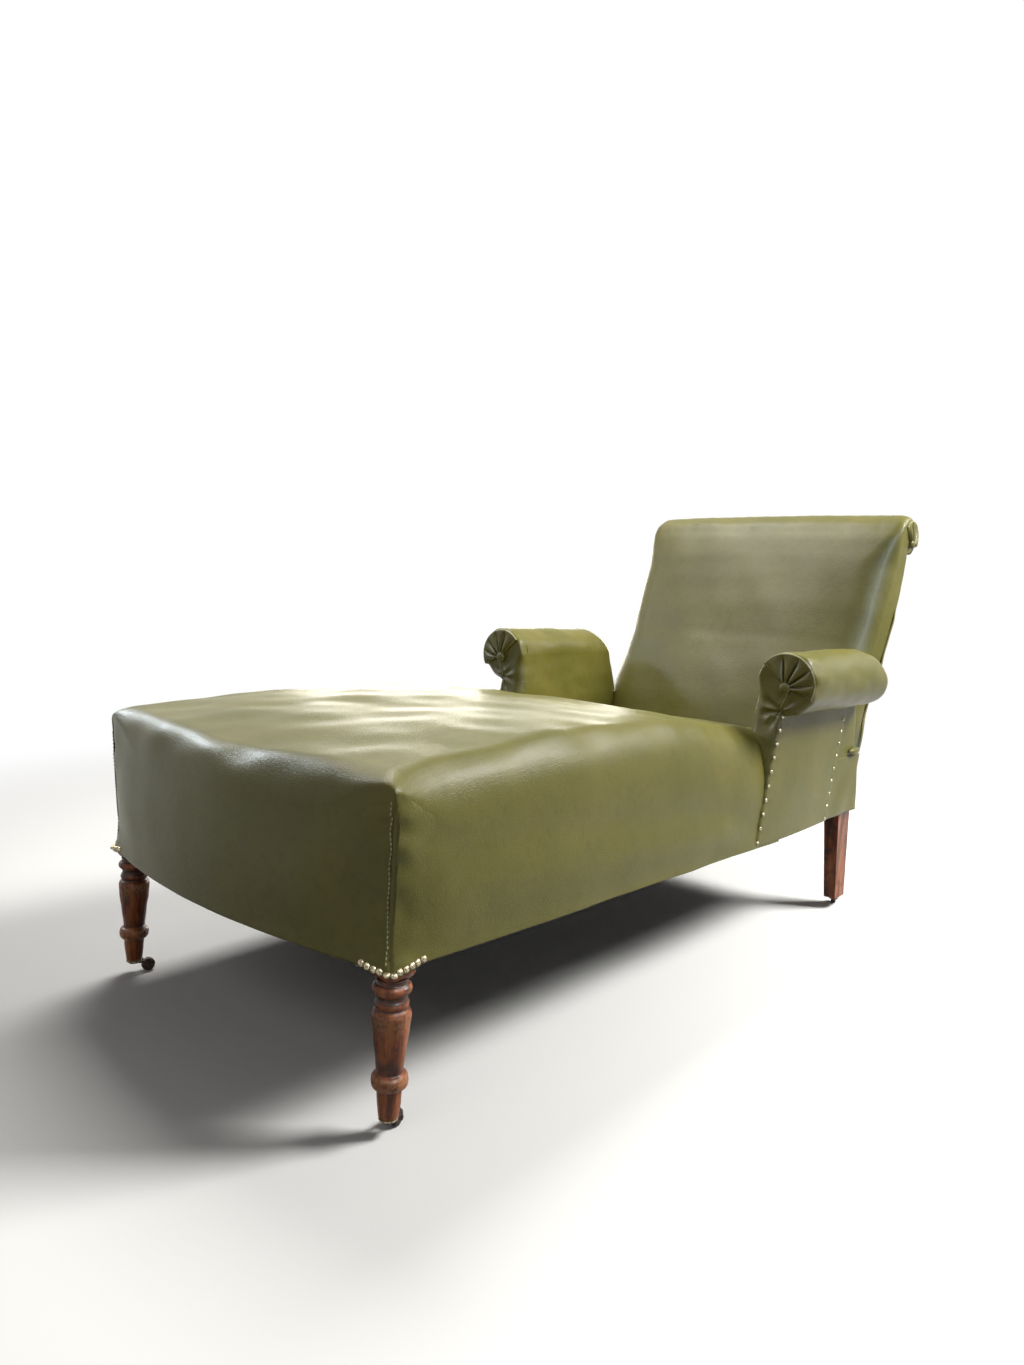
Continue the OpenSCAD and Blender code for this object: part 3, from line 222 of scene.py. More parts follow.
def seat_patches():
    """The top as a grid whose outer rows are a quarter ellipse, and three borders that hang from it.
    Across and length count 0 to 1 over the rounded edge and 1 to 2 over the flat, and lift and rise
    are the sine of the edge's turn. The runs and the fall are rough lengths, which set how fine the
    rows are. The fourth channel is the way from the corner seam."""
    side_run, foot_run = 0.125, foot_round * 1.6
    turn = graded(side_run, 0.001, 0.005) / side_run * math.pi / 2
    flat = np.linspace(0, 1, 46)[1:]
    foot_turn = graded(foot_run, 0.001, 0.0028) / foot_run * math.pi / 2
    run = graded(1, 0.0024, 0.0048)[1:]
    across = np.concatenate([1 - np.cos(turn), 1 + flat])
    lift = np.concatenate([np.sin(turn), np.ones(len(flat))])
    across = np.concatenate([-across, across[-2::-1]])
    lift = np.concatenate([lift, lift[-2::-1]])
    side = np.where(np.arange(len(across)) < len(turn) + len(flat), -1, 1)
    inset = np.abs(across)
    length = np.concatenate([(1 - np.cos(foot_turn)), 1 + run])
    rise = np.concatenate([np.sin(foot_turn), np.ones(len(run))])
    rough_y = np.where(length <= 1, length * foot_round,
                       foot_round + (length - 1) * (seat_end - foot_round))
    half = flowing(rough_y, seat_side, 0.014)
    reach = flowing(rough_y, round_in)
    x = side * np.where(
        inset <= 1, half[:, None] - inset * reach[:, None], (half - reach)[:, None] * (2 - inset))
    front = foot_edge(x)
    y = np.where(length[:, None] <= 1, front + foot_round * length[:, None],
                 front + foot_round + (length[:, None] - 1) * (seat_end - foot_round - front))
    drop_side = flowing(rough_y, round_down, 0.012)[:, None] * (1 - lift)
    drop_foot = foot_down + foot_down_more * ease((half_w - np.abs(x)) / foot_down_over)
    z = seat_top(x, y) - np.hypot(drop_side, drop_foot * (1 - rise[:, None]))
    top = np.stack([x, y, z, 1 + 0 * x], -1)

    fall = 0.2
    hang = np.concatenate([graded(fall, 0.003, 0.006)[::-1] / fall, lip_down])
    lip = np.concatenate([np.zeros(len(hang) - len(lip_in)), lip_in])
    drawn_in = np.interp(hang, *zip(*corner_draw))

    def border(edge, out, gap, sag, flare):
        """A border below one edge row: rows go down it, then inward as the turned lip. Its place is
        the edge, moved out by its belly and flare, and drawn in near the corner seam."""
        low = rail_low - under_rail - leg_dip * np.maximum(0, 1 - gap / leg_v) - sag
        share = np.clip(hang, 0, 1)[:, None]
        height = low + (edge[:, 2] - low) * share + np.minimum(hang, 0)[:, None] * lip_unit
        near = hump(gap, leg_v)
        full = belly - belly * ease((gap - belly_end) / belly_fade)
        swell = (full * np.sin(math.pi * share) ** 2 + flare * (1 - share) ** 1.6) * (1 - near)
        place = edge[None, :, :2] + out[None] * (swell - lip[:, None])[..., None]
        corner = np.sign(edge[:, 0]) * near * drawn_in[:, None]
        place = place + np.stack([corner, -drawn_in[:, None] * near * 0.5 + 0 * corner], -1)
        height = height[..., None]
        return np.concatenate([place, height, gap[None, :, None] + 0 * height], -1)

    splay = foot_splay * np.sign(x[0]) * (np.abs(x[0]) > splay_from)
    foot = border(top[0], np.stack([splay, 0 * splay - 1], -1), half[0] - np.abs(x[0]), 0, 0)
    keep = top[:, 0, 1] <= border_end
    sides = [border(top[keep, k], np.tile([s, 0.0], (keep.sum(), 1)), top[keep, k, 1],
                    flowing(top[keep, k, 1], side_sag), flowing(top[keep, k, 1], side_flare))
             for s, k in ((-1, 0), (1, -1))]
    return [top, foot] + sides


def seat_relief(points, normals, seam):
    """Lumps of hair, full on the top and a quarter on the borders, folds along the crest, and below
    the crest the corner seams: a sharp and a wide groove, a ridge beside them, and puckers."""
    upright = ease((seam_top - points[:, 2]) / seam_over)
    flat = ease(normals[:, 2])
    hair = lumps(points, (0.0020, 0.21, 3), (0.0013, 0.085, 4)) * (0.25 + 0.75 * flat)
    crest = hump(normals[:, 2] - 0.6, 0.3) * lumps(points * [1, 0.4, 1], (0.0012, 0.09, 5))
    pull = -0.0036 * hump(seam, 0.0035) - 0.002 * hump(seam, 0.012) + 0.0014 * hump(seam - 0.028, 0.018)
    pucker = lumps(points * [0.3, 0.3, 1], (0.0016, 0.03, 6)) * hump(seam - 0.014, 0.016)
    return hair + crest + (pull + pucker) * upright


class Value:
    """A number that varies over a surface. Sums, differences and products of it add Math nodes."""

    def __init__(self, finish, socket):
        self.finish = finish
        self.socket = socket

    def joined(self, operation, first, second):
        """A Math node over two numbers, at least one of which is a Value."""
        return self.finish.node("Math", {"operation": operation}, {0: first, 1: second})

    def __add__(self, other):
        return self.joined("ADD", self, other)

    def __radd__(self, other):
        return self.joined("ADD", other, self)

    def __sub__(self, other):
        return self.joined("SUBTRACT", self, other)

    def __rsub__(self, other):
        return self.joined("SUBTRACT", other, self)

    def __mul__(self, other):
        return self.joined("MULTIPLY", self, other)

    def __rmul__(self, other):
        return self.joined("MULTIPLY", other, self)


class Finish:
    """A material built up node by node on one Principled shader."""

    def __init__(self, name):
        self.material = bpy.data.materials.new(name)
        self.material.use_nodes = True
        self.tree = self.material.node_tree
        self.shader = self.tree.nodes["Principled BSDF"]
        self.place = self.node("TexCoord", out="Object")

    def feed(self, socket, value):
        """Links a Value to a socket, or sets a plain number or colour on it."""
        if isinstance(value, Value):
            self.tree.links.new(value.socket, socket)
        else:
            socket.default_value = value

    def node(self, kind, settings=(), links=(), out=0):
        """Adds a node, with its settings first and then its sockets, and gives one output."""
        new = self.tree.nodes.new("ShaderNode" + kind)
        for key, value in dict(settings).items():
            if key == "stops":
                for _ in value[2:]:
                    new.color_ramp.elements.new(0.5)
                for element, (at, tone) in zip(new.color_ramp.elements, value):
                    element.position = at
                    element.color = tone
            else:
                setattr(new, key, value)
        for key, value in dict(links).items():
            self.feed(new.inputs[key], value)
        return Value(self, new.outputs[out])

    def noise(self, scale, detail=3.0, place=None, rough=0.5):
        """Cloudy noise from 0 to 1, with this many swells to a metre."""
        return self.node("TexNoise", (), {
            "Vector": place or self.place, "Scale": scale, "Detail": detail, "Roughness": rough})

    def blend(self, factor, first, second):
        """Mixes two colours by a factor."""
        return self.node("Mix", {"data_type": "RGBA"}, {0: factor, 6: first, 7: second}, 2)

    def step(self, value, low, high):
        """0 below low, 1 above high, and smooth between them."""
        return self.node("MapRange", {"interpolation_type": "SMOOTHSTEP"}, {0: value, 1: low, 2: high})

    def stretched(self, scale):
        """Object coordinates with each axis scaled."""
        return self.node("Mapping", (), {"Vector": self.place, "Scale": scale})

    def bump(self, height, depth, strength=1.0, below=None):
        """A normal bent as if a height of 0 to 1 stood depth metres high, over another bump if any."""
        links = {"Height": height, "Distance": depth, "Strength": strength}
        if below is not None:
            links["Normal"] = below
        return self.node("Bump", (), links)

    def set(self, **sockets):
        """Feeds the shader's sockets, named with _ for a space."""
        for name, value in sockets.items():
            self.feed(self.shader.inputs[name.replace("_", " ")], value)

    def on(self, piece):
        """Makes this the only material of a piece."""
        piece.data.materials.clear()
        piece.data.materials.append(self.material)


def paint(red, green, blue):
    """A colour from its 0 to 255 values as seen, as the linear one that the shader takes."""
    seen = np.array([red, green, blue]) / 255
    return (*np.where(seen <= 0.04045, seen / 12.92, ((seen + 0.055) / 1.055) ** 2.4).tolist(), 1.0)


def leather_finish(name):
    """Satin olive leathercloth: mottled colour, pebble grain of about 1.5 mm, soft gloss. Marked places
    are paler and duller: scuffed ridges, and at the buttons' rims a painted highlight."""
    skin = Finish(name)
    cloud = skin.noise(7.0, 3.0)
    fleck = skin.noise(70.0, 2.0)
    worn = skin.node("Attribute", {"attribute_name": "worn"}, (), "Fac")
    olive = skin.blend(skin.step(cloud, 0.3, 0.7), paint(102, 99, 38), paint(115, 109, 47))
    olive = skin.blend(skin.step(fleck, 0.45, 0.8) * 0.35, olive, paint(90, 87, 34))
    # Paler where marked: scuffed ridges, and a painted highlight round the buttons' rims.
    olive = skin.blend(skin.step(worn, 0.15, 1.0) * 0.75, olive, paint(176, 172, 128))
    pebble = skin.node("TexVoronoi", {"feature": "SMOOTH_F1"},
                       {"Vector": skin.place, "Scale": 620.0, "Smoothness": 0.4}, "Distance")
    crease = skin.noise(260.0, 3.0)
    grain = skin.bump(pebble + crease * 0.8, 0.0004, 0.75)
    soft = skin.bump(skin.noise(38.0, 2.0), 0.0011, 0.3, grain)
    skin.set(Base_Color=olive, Roughness=0.33 + 0.14 * skin.noise(16.0, 3.0) + 0.1 * worn,
             Normal=soft, Specular_IOR_Level=0.24, Coat_Weight=0.05, Coat_Roughness=0.2)
    return skin


leather = leather_finish("olive_leather")
seat = skin_mesh("seat_cover", seat_patches(), seat_relief)
leather.on(seat)
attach(seat, "couch")
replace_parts(seat, "seat_leather", "seat_stuffing")

# Each foot corner is an upright seam, top-stitched in pale waxed thread on its foot side, from the
# crest down to the leg. A stitch is a short bead of thread that stands half out of the leather.
stitch = (0.0010, 0.0025, 0.0009)
stitch_pitch = 0.0058
stitches_low, stitches_high = 0.222, 0.412
corner_line = half_w + 0.002
seam_aside = 0.0045


def bead(half_sizes, rows=6, sides=10):
    """An ellipsoid of three half sizes: rings by polar angle, each a circle by turn."""
    polar = np.linspace(0, math.pi, rows + 1)[:, None]
    turn = np.linspace(0, 2 * math.pi, sides + 1)
    return np.stack([np.sin(polar) * np.cos(turn), np.sin(polar) * np.sin(turn),
                     np.cos(polar) + 0 * turn], -1) * np.array(half_sizes)


def scattered(name, ground, guesses, way, shape, sunk=0.0):
    """Copies a small shape to the ground's nearest point to each guess. There its z axis stands on
    the surface, and its y axis lies along a way."""
    tree = BVHTree.FromObject(ground, bpy.context.evaluated_depsgraph_get())
    grids = []
    for guess in guesses:
        spot, normal = tree.find_nearest(Vector(guess) + Vector((0, foot_line, 0)))[:2]
        along = (Vector(way) - normal * normal.dot(way)).normalized()
        turned = shape @ np.array([along.cross(normal), along, normal])
        grids.append(turned + np.array(spot - normal * sunk) - [0, foot_line, 0])
    return skin_mesh(name, grids)


thread = Finish("seam_thread")
thread.set(Base_Color=thread.blend(thread.noise(900.0), paint(150, 146, 104), paint(206, 200, 160)),
           Roughness=0.6 + 0.2 * thread.noise(1200.0))
for s, hand in ((-1, "left"), (1, "right")):
    places = [(s * (corner_line - seam_aside), -0.004, z)
              for z in np.arange(stitches_low, stitches_high, stitch_pitch)]
    stitches = scattered(f"seam_stitches_{hand}", seat, places, (0, 0, 1), bead(stitch))
    thread.on(stitches)
    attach(stitches, "couch")

# The back is one padded leather skin from the seat up its raked face and over a small scroll,
# wrapped round the two sides and tacked behind. Both outlines are (way up the couch, height).
roll = (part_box("back_top_rail")[0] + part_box("back_top_rail")[1]) / 2
roll_y, roll_z = roll.y - foot_line, roll.z
roll_r = 0.042
back_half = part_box("back_leather")[1].x
back_front = ((1.238, 0.320), (1.252, 0.345), (1.308, 0.457), (1.362, 0.556), (1.407, 0.669),
              (1.438, 0.752), (1.462, 0.800), (1.485, 0.832))
back_rear = ((1.285, 0.316), (1.300, 0.345), (1.376, 0.457), (1.438, 0.556), (1.488, 0.669),
             (1.512, 0.752))
back_narrows = 0.018
rear_half, rear_spread, spread_top, spread_over = 0.331, 0.0125, 0.43, 0.09
scroll_start, scroll_stop = 114, -80
face_corner, corner_less, corner_wide = 0.042, 0.028, 1.7
face_crown, roll_crown = 0.020, 0.004
# The face passes over into the scroll here, as shares of the outline. Its skin is gathered above 0.8 m.
rolled_from, rolled_over = 0.60, 0.16
gathered_from = 0.8


def drawn(points, count, soften=0.0):
    """Evenly spaced places on a line through points, each first averaged over soften metres."""
    line = np.array(points, float)
    for spacing in (len(line) * 60, count):
        run = np.concatenate([[0], np.cumsum(np.linalg.norm(np.diff(line, axis=0), axis=1))])
        even = np.linspace(0, run[-1], spacing)
        line = np.stack([np.interp(even, run, column) for column in line.T], -1)
        wide = int(soften / (run[-1] / spacing)) if spacing > count and soften else 0
        if wide > 1:
            before = 2 * line[0] - line[wide:0:-1]
            after = 2 * line[-1] - line[-2:-wide - 2:-1]
            padded = np.concatenate([before, line, after])
            kernel = np.ones(2 * wide + 1) / (2 * wide + 1)
            line = np.stack([np.convolve(column, kernel, "valid") for column in padded.T], -1)
    return line


def back_width(z):
    """Half of the back's width, which narrows from the scroll down to the seat rails."""
    return back_half - back_narrows * (1 - np.clip((z - rail_top) / (roll_z - rail_top), 0, 1))


def half_behind(z):
    """Half of the back's width at its rear edge, which widens to the uprights' feet."""
    return rear_half + rear_spread * ease((spread_top - z) / spread_over)


def back_patches():
    """Rows follow the front outline and go round the scroll. Columns go from the rear edge of one
    side, round a corner that is 42 mm deep and 14 mm on the scroll, over the crowned face, and back
    along the other side. Each point is the outline, moved inward by its depth behind the face."""
    angles = np.radians(np.linspace(scroll_start, scroll_stop, 18))
    scroll = np.stack([roll_y + roll_r * np.cos(angles), roll_z + roll_r * np.sin(angles)], -1)
    face = drawn(np.concatenate([np.array(back_front), scroll]), 150, 0.012)
    along = np.linspace(0, 1, len(face))
    slope = np.gradient(face, axis=0)
    slope /= np.linalg.norm(slope, axis=1)[:, None]
    outward = np.stack([-slope[:, 1], slope[:, 0]], -1)
    rear = np.stack([flowing(face[:, 1], [(b, a) for a, b in back_rear], 0.02), face[:, 1]], -1)
    rolled = ease((along - rolled_from) / rolled_over)[:, None]
    rear = rear * (1 - rolled) + np.array([roll_y, roll_z]) * rolled
    inward = rear - face
    depth = np.linalg.norm(inward, axis=1)
    inward /= depth[:, None]
    corner = np.minimum(face_corner - corner_less * rolled[:, 0], depth * 0.6)
    corner_x = corner * corner_wide
    spread = np.maximum(0, half_behind(face[:, 1]) - back_width(face[:, 1])) * (1 - rolled[:, 0])
    half = back_width(face[:, 1])

    wrap = np.linspace(0, 1, 12)[:-1]
    bend = np.linspace(0, math.pi / 2, 12)
    middle = np.linspace(-1, 1, 90)[1:-1]
    x_parts, deep_parts = [], []
    for s in (-1, 1):
        flat_depth = corner[:, None] + (depth - corner)[:, None] * (1 - wrap)[None]
        x_side = half[:, None] + spread[:, None] * (1 - wrap)[None]
        x_bend = half[:, None] - corner_x[:, None] * (1 - np.cos(bend))
        deep_bend = corner[:, None] * (1 - np.sin(bend))
        x_all = np.concatenate([x_side, x_bend], 1) * s
        deep = np.concatenate([flat_depth, deep_bend], 1)
        order = slice(None) if s < 0 else slice(None, None, -1)
        x_parts.append(x_all[:, order])
        deep_parts.append(deep[:, order])
    x_face = middle[None] * (half - corner_x)[:, None]
    x = np.concatenate([x_parts[0], x_face, x_parts[1]], 1)
    deep = np.concatenate([deep_parts[0], 0 * x_face, deep_parts[1]], 1)
    rise = np.clip((face[:, 1] - rail_top) / (roll_z - rail_top), 0, 1)
    crown = face_crown * np.sin(math.pi * rise ** 0.8)[:, None] * (1 - (x / half[:, None]) ** 2)
    crown = crown + roll_crown * ease((along - 0.55) / 0.2)[:, None] * (1 - (x / half[:, None]) ** 2)
    place = face[:, None] + inward[:, None] * deep[..., None] + outward[:, None] * crown[..., None]
    return [np.concatenate([x[..., None], place], -1)]


def back_relief(points, normals, mark):
    """Slow lumps over the face, and fine gathers where the skin goes round the scroll."""
    facing = ease(-normals[:, 1] + 0.3)
    gathers = 0.00025 * np.sin(points[:, 0] * 150 + 2 * swells(points, 0.2, 13))
    return lumps(points, (0.0013, 0.24, 11), (0.0006, 0.09, 12)) * facing + gathers * ease(
        (points[:, 2] - gathered_from) / 0.03)


back = skin_mesh("inside_back", back_patches(), back_relief)
leather.on(back)
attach(back, "couch")
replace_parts(back, "back_leather", "back_stuffing")

# The outside back is a flat leather panel from the scroll's underside down over the head rail,
# with its edges turned in and tacked to the uprights. It lies on the inside back's rear outline.
panel_low = rail_low - under_rail
outside_line = ((1.2813, panel_low), (1.2813, 0.30)) + back_rear[1:] + ((1.522, 0.772),)
outside_skin = 0.0035
outside_fold = (0.008, 0.003)


def outside_back_patches():
    """Rows follow the rear outline from the rail to the scroll, and the two columns at either side
    fold inward. Its width is the rails' below their top, and 1 mm less than the back's above it."""
    line = drawn(outside_line, 110, 0.02)
    share = np.concatenate([[-1, -1], np.linspace(-1, 1, 70), [1, 1]])
    fold = np.concatenate([outside_fold, np.zeros(70), outside_fold[::-1]])
    half = np.where(line[:, 1] < rail_top, half_w, half_behind(line[:, 1]) - 0.001)
    half = flowing(line[:, 1], list(zip(line[:, 1], half)), 0.012)
    x = half[:, None] * share
    y = line[:, :1] + outside_skin - fold + 0 * x
    z = line[:, 1:] + 0 * x
    return [np.stack([x, y, z], -1)]


def outside_back_relief(points, normals, mark):
    """A skin pulled tight on its tacks: slow waves, deepest along the edges."""
    edge = hump(back_width(points[:, 2]) - np.abs(points[:, 0]), 0.06)
    return lumps(points, (0.0009, 0.3, 21)) + lumps(points, (0.0012, 0.07, 22)) * edge


outside = skin_mesh("outside_back_panel", outside_back_patches(), outside_back_relief)
leather.on(outside)
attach(outside, "couch")
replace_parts(outside, "outside_back")

# Each arm is a low padded wall that rolls outwards over a round rail. Its leather goes from the
# seat up the inside, round the scroll and under it, and is drawn over the front post.
arm_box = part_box("arm_leather_right")
scroll_r = 0.058
scroll_x = arm_box[1].x - scroll_r
scroll_z = arm_box[1].z - scroll_r
arm_in = arm_box[0].x
arm_out = half_w + 0.0035
arm_low = 0.325
arm_forward = 0.008
arm_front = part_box("arm_rosette_right")[1].y - foot_line - arm_forward
# Its rear end lies against the raked back: (height, way up the couch).
arm_rear = ((0.33, 1.262), (0.40, 1.260), (0.46, 1.253), (0.50, 1.245), (0.53, 1.230), (0.556, 1.198))
# Its front stands upright at the scroll and leans back below it, with a soft bend between the two.
arm_lean = math.tan(math.radians(18))
lean_from = scroll_z - 0.057
lean_bend = 0.045
scroll_in, scroll_in_from = 0.0085, 0.39
# The front's edge is soft on the inner side, crisp round the scroll, and wider under it.
soft_edge, soft_edge_low = 0.006, 0.016
crisp_edge, crisp_edge_low = 0.0055, 0.013
rear_edge = 0.026
# The neck is where the scroll's underside meets the outer wall, whose leather is hidden from here out.
neck = (arm_out - 0.002, 0.449)
hidden_from = 0.335


def stood_back(inward, radius):
    """How far a surface stands back from its end plane this far inward of its edge: a quarter circle
    of the edge's radius."""
    return radius * (1 - np.sqrt(1 - np.clip(1 - np.maximum(inward, 0) / radius, 0, 1) ** 2))


def arm_patches(s):
    """The outline has an inner and an outer side, read at shared heights: even ones up the wall, then
    those of even turns round the scroll. A skin runs along it, and each end is closed by level rows
    between the sides, which stand back near their edges. The front's lean starts as a smooth curve,
    b cubed less half of b to the fourth, where b goes from 0 to 1 over the bend."""
    turn = np.radians(np.linspace(-90, 90, 70))
    low = np.linspace(arm_low, scroll_z - scroll_r - 0.002, 42)
    z = np.concatenate([low, scroll_z + scroll_r * np.sin(turn)])
    reach = np.sqrt(np.maximum(0, scroll_r ** 2 - (z - scroll_z) ** 2))
    swung = scroll_in * ease((z - scroll_in_from) / (scroll_z - scroll_in_from))
    inner = np.where(z < scroll_z, arm_in + swung, scroll_x - reach)
    outer = np.where(z < scroll_z - scroll_r, arm_out, scroll_x + reach)
    bend = np.clip((lean_from + lean_bend - z) / (2 * lean_bend), 0, 1)
    front = arm_front - arm_lean * (2 * lean_bend * (bend ** 3 - bend ** 4 / 2)
                                    + np.maximum(0, lean_from - lean_bend - z))
    rear = flowing(z, arm_rear, 0.01) + rear_edge
    soft = soft_edge + soft_edge_low * ease((scroll_z + 0.02 - z) / 0.05)
    under = ease((scroll_z - 0.012 - z) / 0.022) * (z > scroll_z - scroll_r)
    crisp = crisp_edge + crisp_edge_low * under

    t = np.concatenate([graded(0.9, 0.02, 0.09)[:-1], [0.9]])
    t = np.concatenate([t - 1, -(t[::-1] - 1)])[None]
    x = (inner[:, None] * (1 - t) + outer[:, None] * (1 + t)) / 2
    level = z[:, None] + 0 * x
    within = scroll_r - np.hypot(x - scroll_x, level - scroll_z)
    from_inner = np.where(level < scroll_z, x - inner[:, None], within)
    wall = np.where(level < scroll_z, arm_out - x, np.where(x < scroll_x, scroll_r, -scroll_r))
    from_outer = np.maximum(wall, within)
    y_front = front[:, None] + np.maximum(stood_back(from_inner, soft[:, None] + 0 * x),
                                          stood_back(from_outer, crisp[:, None] + 0 * x))
    y_rear = rear[:, None] - np.maximum(stood_back(from_inner, rear_edge),
                                        stood_back(from_outer, rear_edge))
    ring_x = np.concatenate([inner, outer[-2::-1]])
    ring_z = np.concatenate([z, z[-2::-1]])
    ring_front = np.concatenate([y_front[:, 0], y_front[-2::-1, -1]])
    ring_rear = np.concatenate([y_rear[:, 0], y_rear[-2::-1, -1]])
    run = np.linspace(0, 1, 30)[:, None]
    skin = np.stack([s * (ring_x + 0 * run), ring_front + (ring_rear - ring_front) * run,
                     ring_z + 0 * run], -1)
    return [skin] + [np.stack([s * x, y, level], -1) for y in (y_front, y_rear)]


def arm_relief(seed):
    """Soft lumps, small folds near the scroll's front, and drag folds that run out from the neck,
    where the front's leather is drawn tight under the last pleat. The hidden outer wall is free of
    lumps, so that the panel over it stays clear."""
    def relief(points, normals, mark):
        flat = np.stack([np.abs(points[:, 0]), points[:, 1], points[:, 2]], -1)
        front = ease(-normals[:, 1] * 1.4)
        inward, up = neck[0] - flat[:, 0], flat[:, 2] - neck[1]
        far = np.hypot(inward, up)
        drag = 0.0030 * np.sin(np.arctan2(up, inward) * 7 + 0.4) * hump(far - 0.019, 0.013) * front
        near = hump(flat[:, 1] - arm_front, 0.05) * (1 - front)
        turn = np.arctan2(flat[:, 2] - scroll_z, flat[:, 0] - scroll_x)
        fold = 0.0009 * np.sin(turn * 9 + seed) * near
        hidden = ease(np.abs(normals[:, 0]) * 2 - 0.6) * ease((flat[:, 0] - hidden_from) / 0.005)
        free = 1 - hidden * (flat[:, 2] < neck[1])
        return lumps(flat, (0.0013, 0.12, seed), (0.0007, 0.05, seed + 1)) * free + drag + fold
    return relief


arms = {}
for s, hand in ((-1, "left"), (1, "right")):
    arm = skin_mesh(f"arm_cover_{hand}", arm_patches(s), arm_relief(30 + s))
    arms[hand] = arm
    leather.on(arm)
    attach(arm, "couch")
    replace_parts(arm, f"arm_leather_{hand}", f"arm_stuffing_{hand}")

# An outside panel closes each arm below its scroll: leather over card, pinned along its two raking
# edges with small brass pins. Behind it the border's leather goes on to the rear leg, and the end of
# the back's wrap curls over it.
panel_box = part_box("outside_arm_right")
panel_out = panel_box[1].x
panel_top = panel_box[1].z
panel_front = panel_box[0].y - foot_line - 0.010
# The panel's skin lies 4 mm inside the box, is fuller at its middle, is flared and sags at its foot,
# and goes on above the box.
panel_in, panel_full, panel_flare, panel_sag, panel_over = 0.0040, 0.003, 0.0045, 0.006, 0.006
panel_span = panel_box[1].y - panel_box[0].y - (panel_top - panel_box[0].z) * arm_lean + 0.006
cover_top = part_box("rear_side_cover_right")[1].z
# The strip behind it reaches 9 mm further at its top, and starts 12 mm under the panel's rear edge.
cover_end, cover_wider, wider_from, wider_over = 1.2858, 0.009, 0.295, 0.04
cover_out, cover_flare, cover_lap = 0.0050, 0.004, 0.012
edge_fold = 0.014
# The curl's axis: how far aside it lies, where it starts, its height and its length.
curl_x, curl_y, curl_z, curl_long = 0.3465, 1.236, 0.3395, 0.052
curl_radius = 0.0082
pin_z = np.linspace(0.216, 0.438, 10)
pin_head = (0.0040, 0.0040, 0.0028)
pin_in_front, pin_in_rear = 0.005, 0.012
head_sunk = 0.0004


def raked(z, across=0.0):
    """The way up the couch of the panel's front edge at a height, and this far behind it."""
    return panel_front + (z - panel_low) * arm_lean + across


def panel_patches(s):
    """A raked sheet, 3 mm fuller at its middle and flared at its foot, whose edges are rounded and
    then turned 14 mm inward. Its lower edge sags a little."""
    across = np.concatenate([[0, 0, 0.003, 0.008], np.linspace(0.016, 0.984, 60), [0.992, 0.997, 1, 1]])
    up = np.concatenate([[0, 0, 0.004], np.linspace(0.015, 0.985, 44), [0.996, 1, 1]])
    sink_a = np.concatenate([[edge_fold, 0.003, 0.0012, 0.0003], np.zeros(60),
                             [0.0003, 0.0012, 0.003, edge_fold]])
    sink_b = np.concatenate([[edge_fold, 0.002, 0.0006], np.zeros(44), [0.0006, 0.002, edge_fold]])
    low = panel_low - panel_sag * np.sin(math.pi * (0.25 + 0.6 * across))
    z = low + (panel_top + panel_over - low) * up[:, None]
    y = raked(z, panel_span * across)
    up = up[:, None]
    full = panel_full * np.sin(math.pi * across) ** 0.6 * np.sin(math.pi * (0.1 + 0.9 * up)) ** 0.6
    flare = panel_flare * (1 - up) ** 1.4
    x = panel_out - panel_in + flare + full - np.maximum(sink_a, sink_b[:, None])
    return [np.stack([s * x, y, z], -1)]


def panel_relief(points, normals, mark):
    """Slight puckers at the pins, and slow waves."""
    behind = points[:, 1] - panel_front - (points[:, 2] - panel_low) * arm_lean
    edge = hump(np.minimum(behind, panel_span - behind) - 0.005, 0.012)
    return 0.0007 * np.sin(points[:, 2] * 260) * edge + lumps(points, (0.0006, 0.14, 41))


def cover_patches(s):
    """The strip from under the panel's rear edge to the head, up to the rail's top, with its edges
    turned inward."""
    up = np.concatenate([[0, 0], np.linspace(0, 1, 30), [1, 1]])[:, None]
    across = np.concatenate([[0, 0], np.linspace(0, 1, 24), [1, 1]])
    z = panel_low + (cover_top - panel_low) * up + 0 * across
    start = raked(z, panel_span - cover_lap)
    end = cover_end + cover_wider * ease((z - wider_from) / wider_over)
    y = start + (end - start) * across
    sink = np.concatenate([[0.005, 0.001], np.zeros(24), [0.001, edge_fold]])
    sink_up = np.concatenate([[edge_fold, 0.001], np.zeros(30), [0.001, edge_fold]])[:, None]
    x = half_w + cover_out + cover_flare * (1 - up) - np.maximum(sink, sink_up) + 0 * z
    return [np.stack([s * x, y, z], -1)]


def cover_relief(points, normals, mark):
    """Slow waves."""
    return lumps(points, (0.0006, 0.08, 43))


def curl_patches(s):
    """Where the back's wrap ends over the border it curls on itself: a strip 240 degrees round an
    axis that lies along the border's top edge."""
    along = np.linspace(0, 1, 24)[:, None]
    turn = np.radians(np.linspace(-200, 40, 20))
    radius = curl_radius * np.sin(math.pi * (0.04 + 0.93 * along ** 0.8)) ** 0.6
    y = curl_y + curl_long * along + 0 * turn
    z = curl_z + 0.002 * along - radius * np.sin(turn)
    x = curl_x + 0.9 * radius * np.cos(turn)
    return [np.stack([s * x, y, z], -1)]


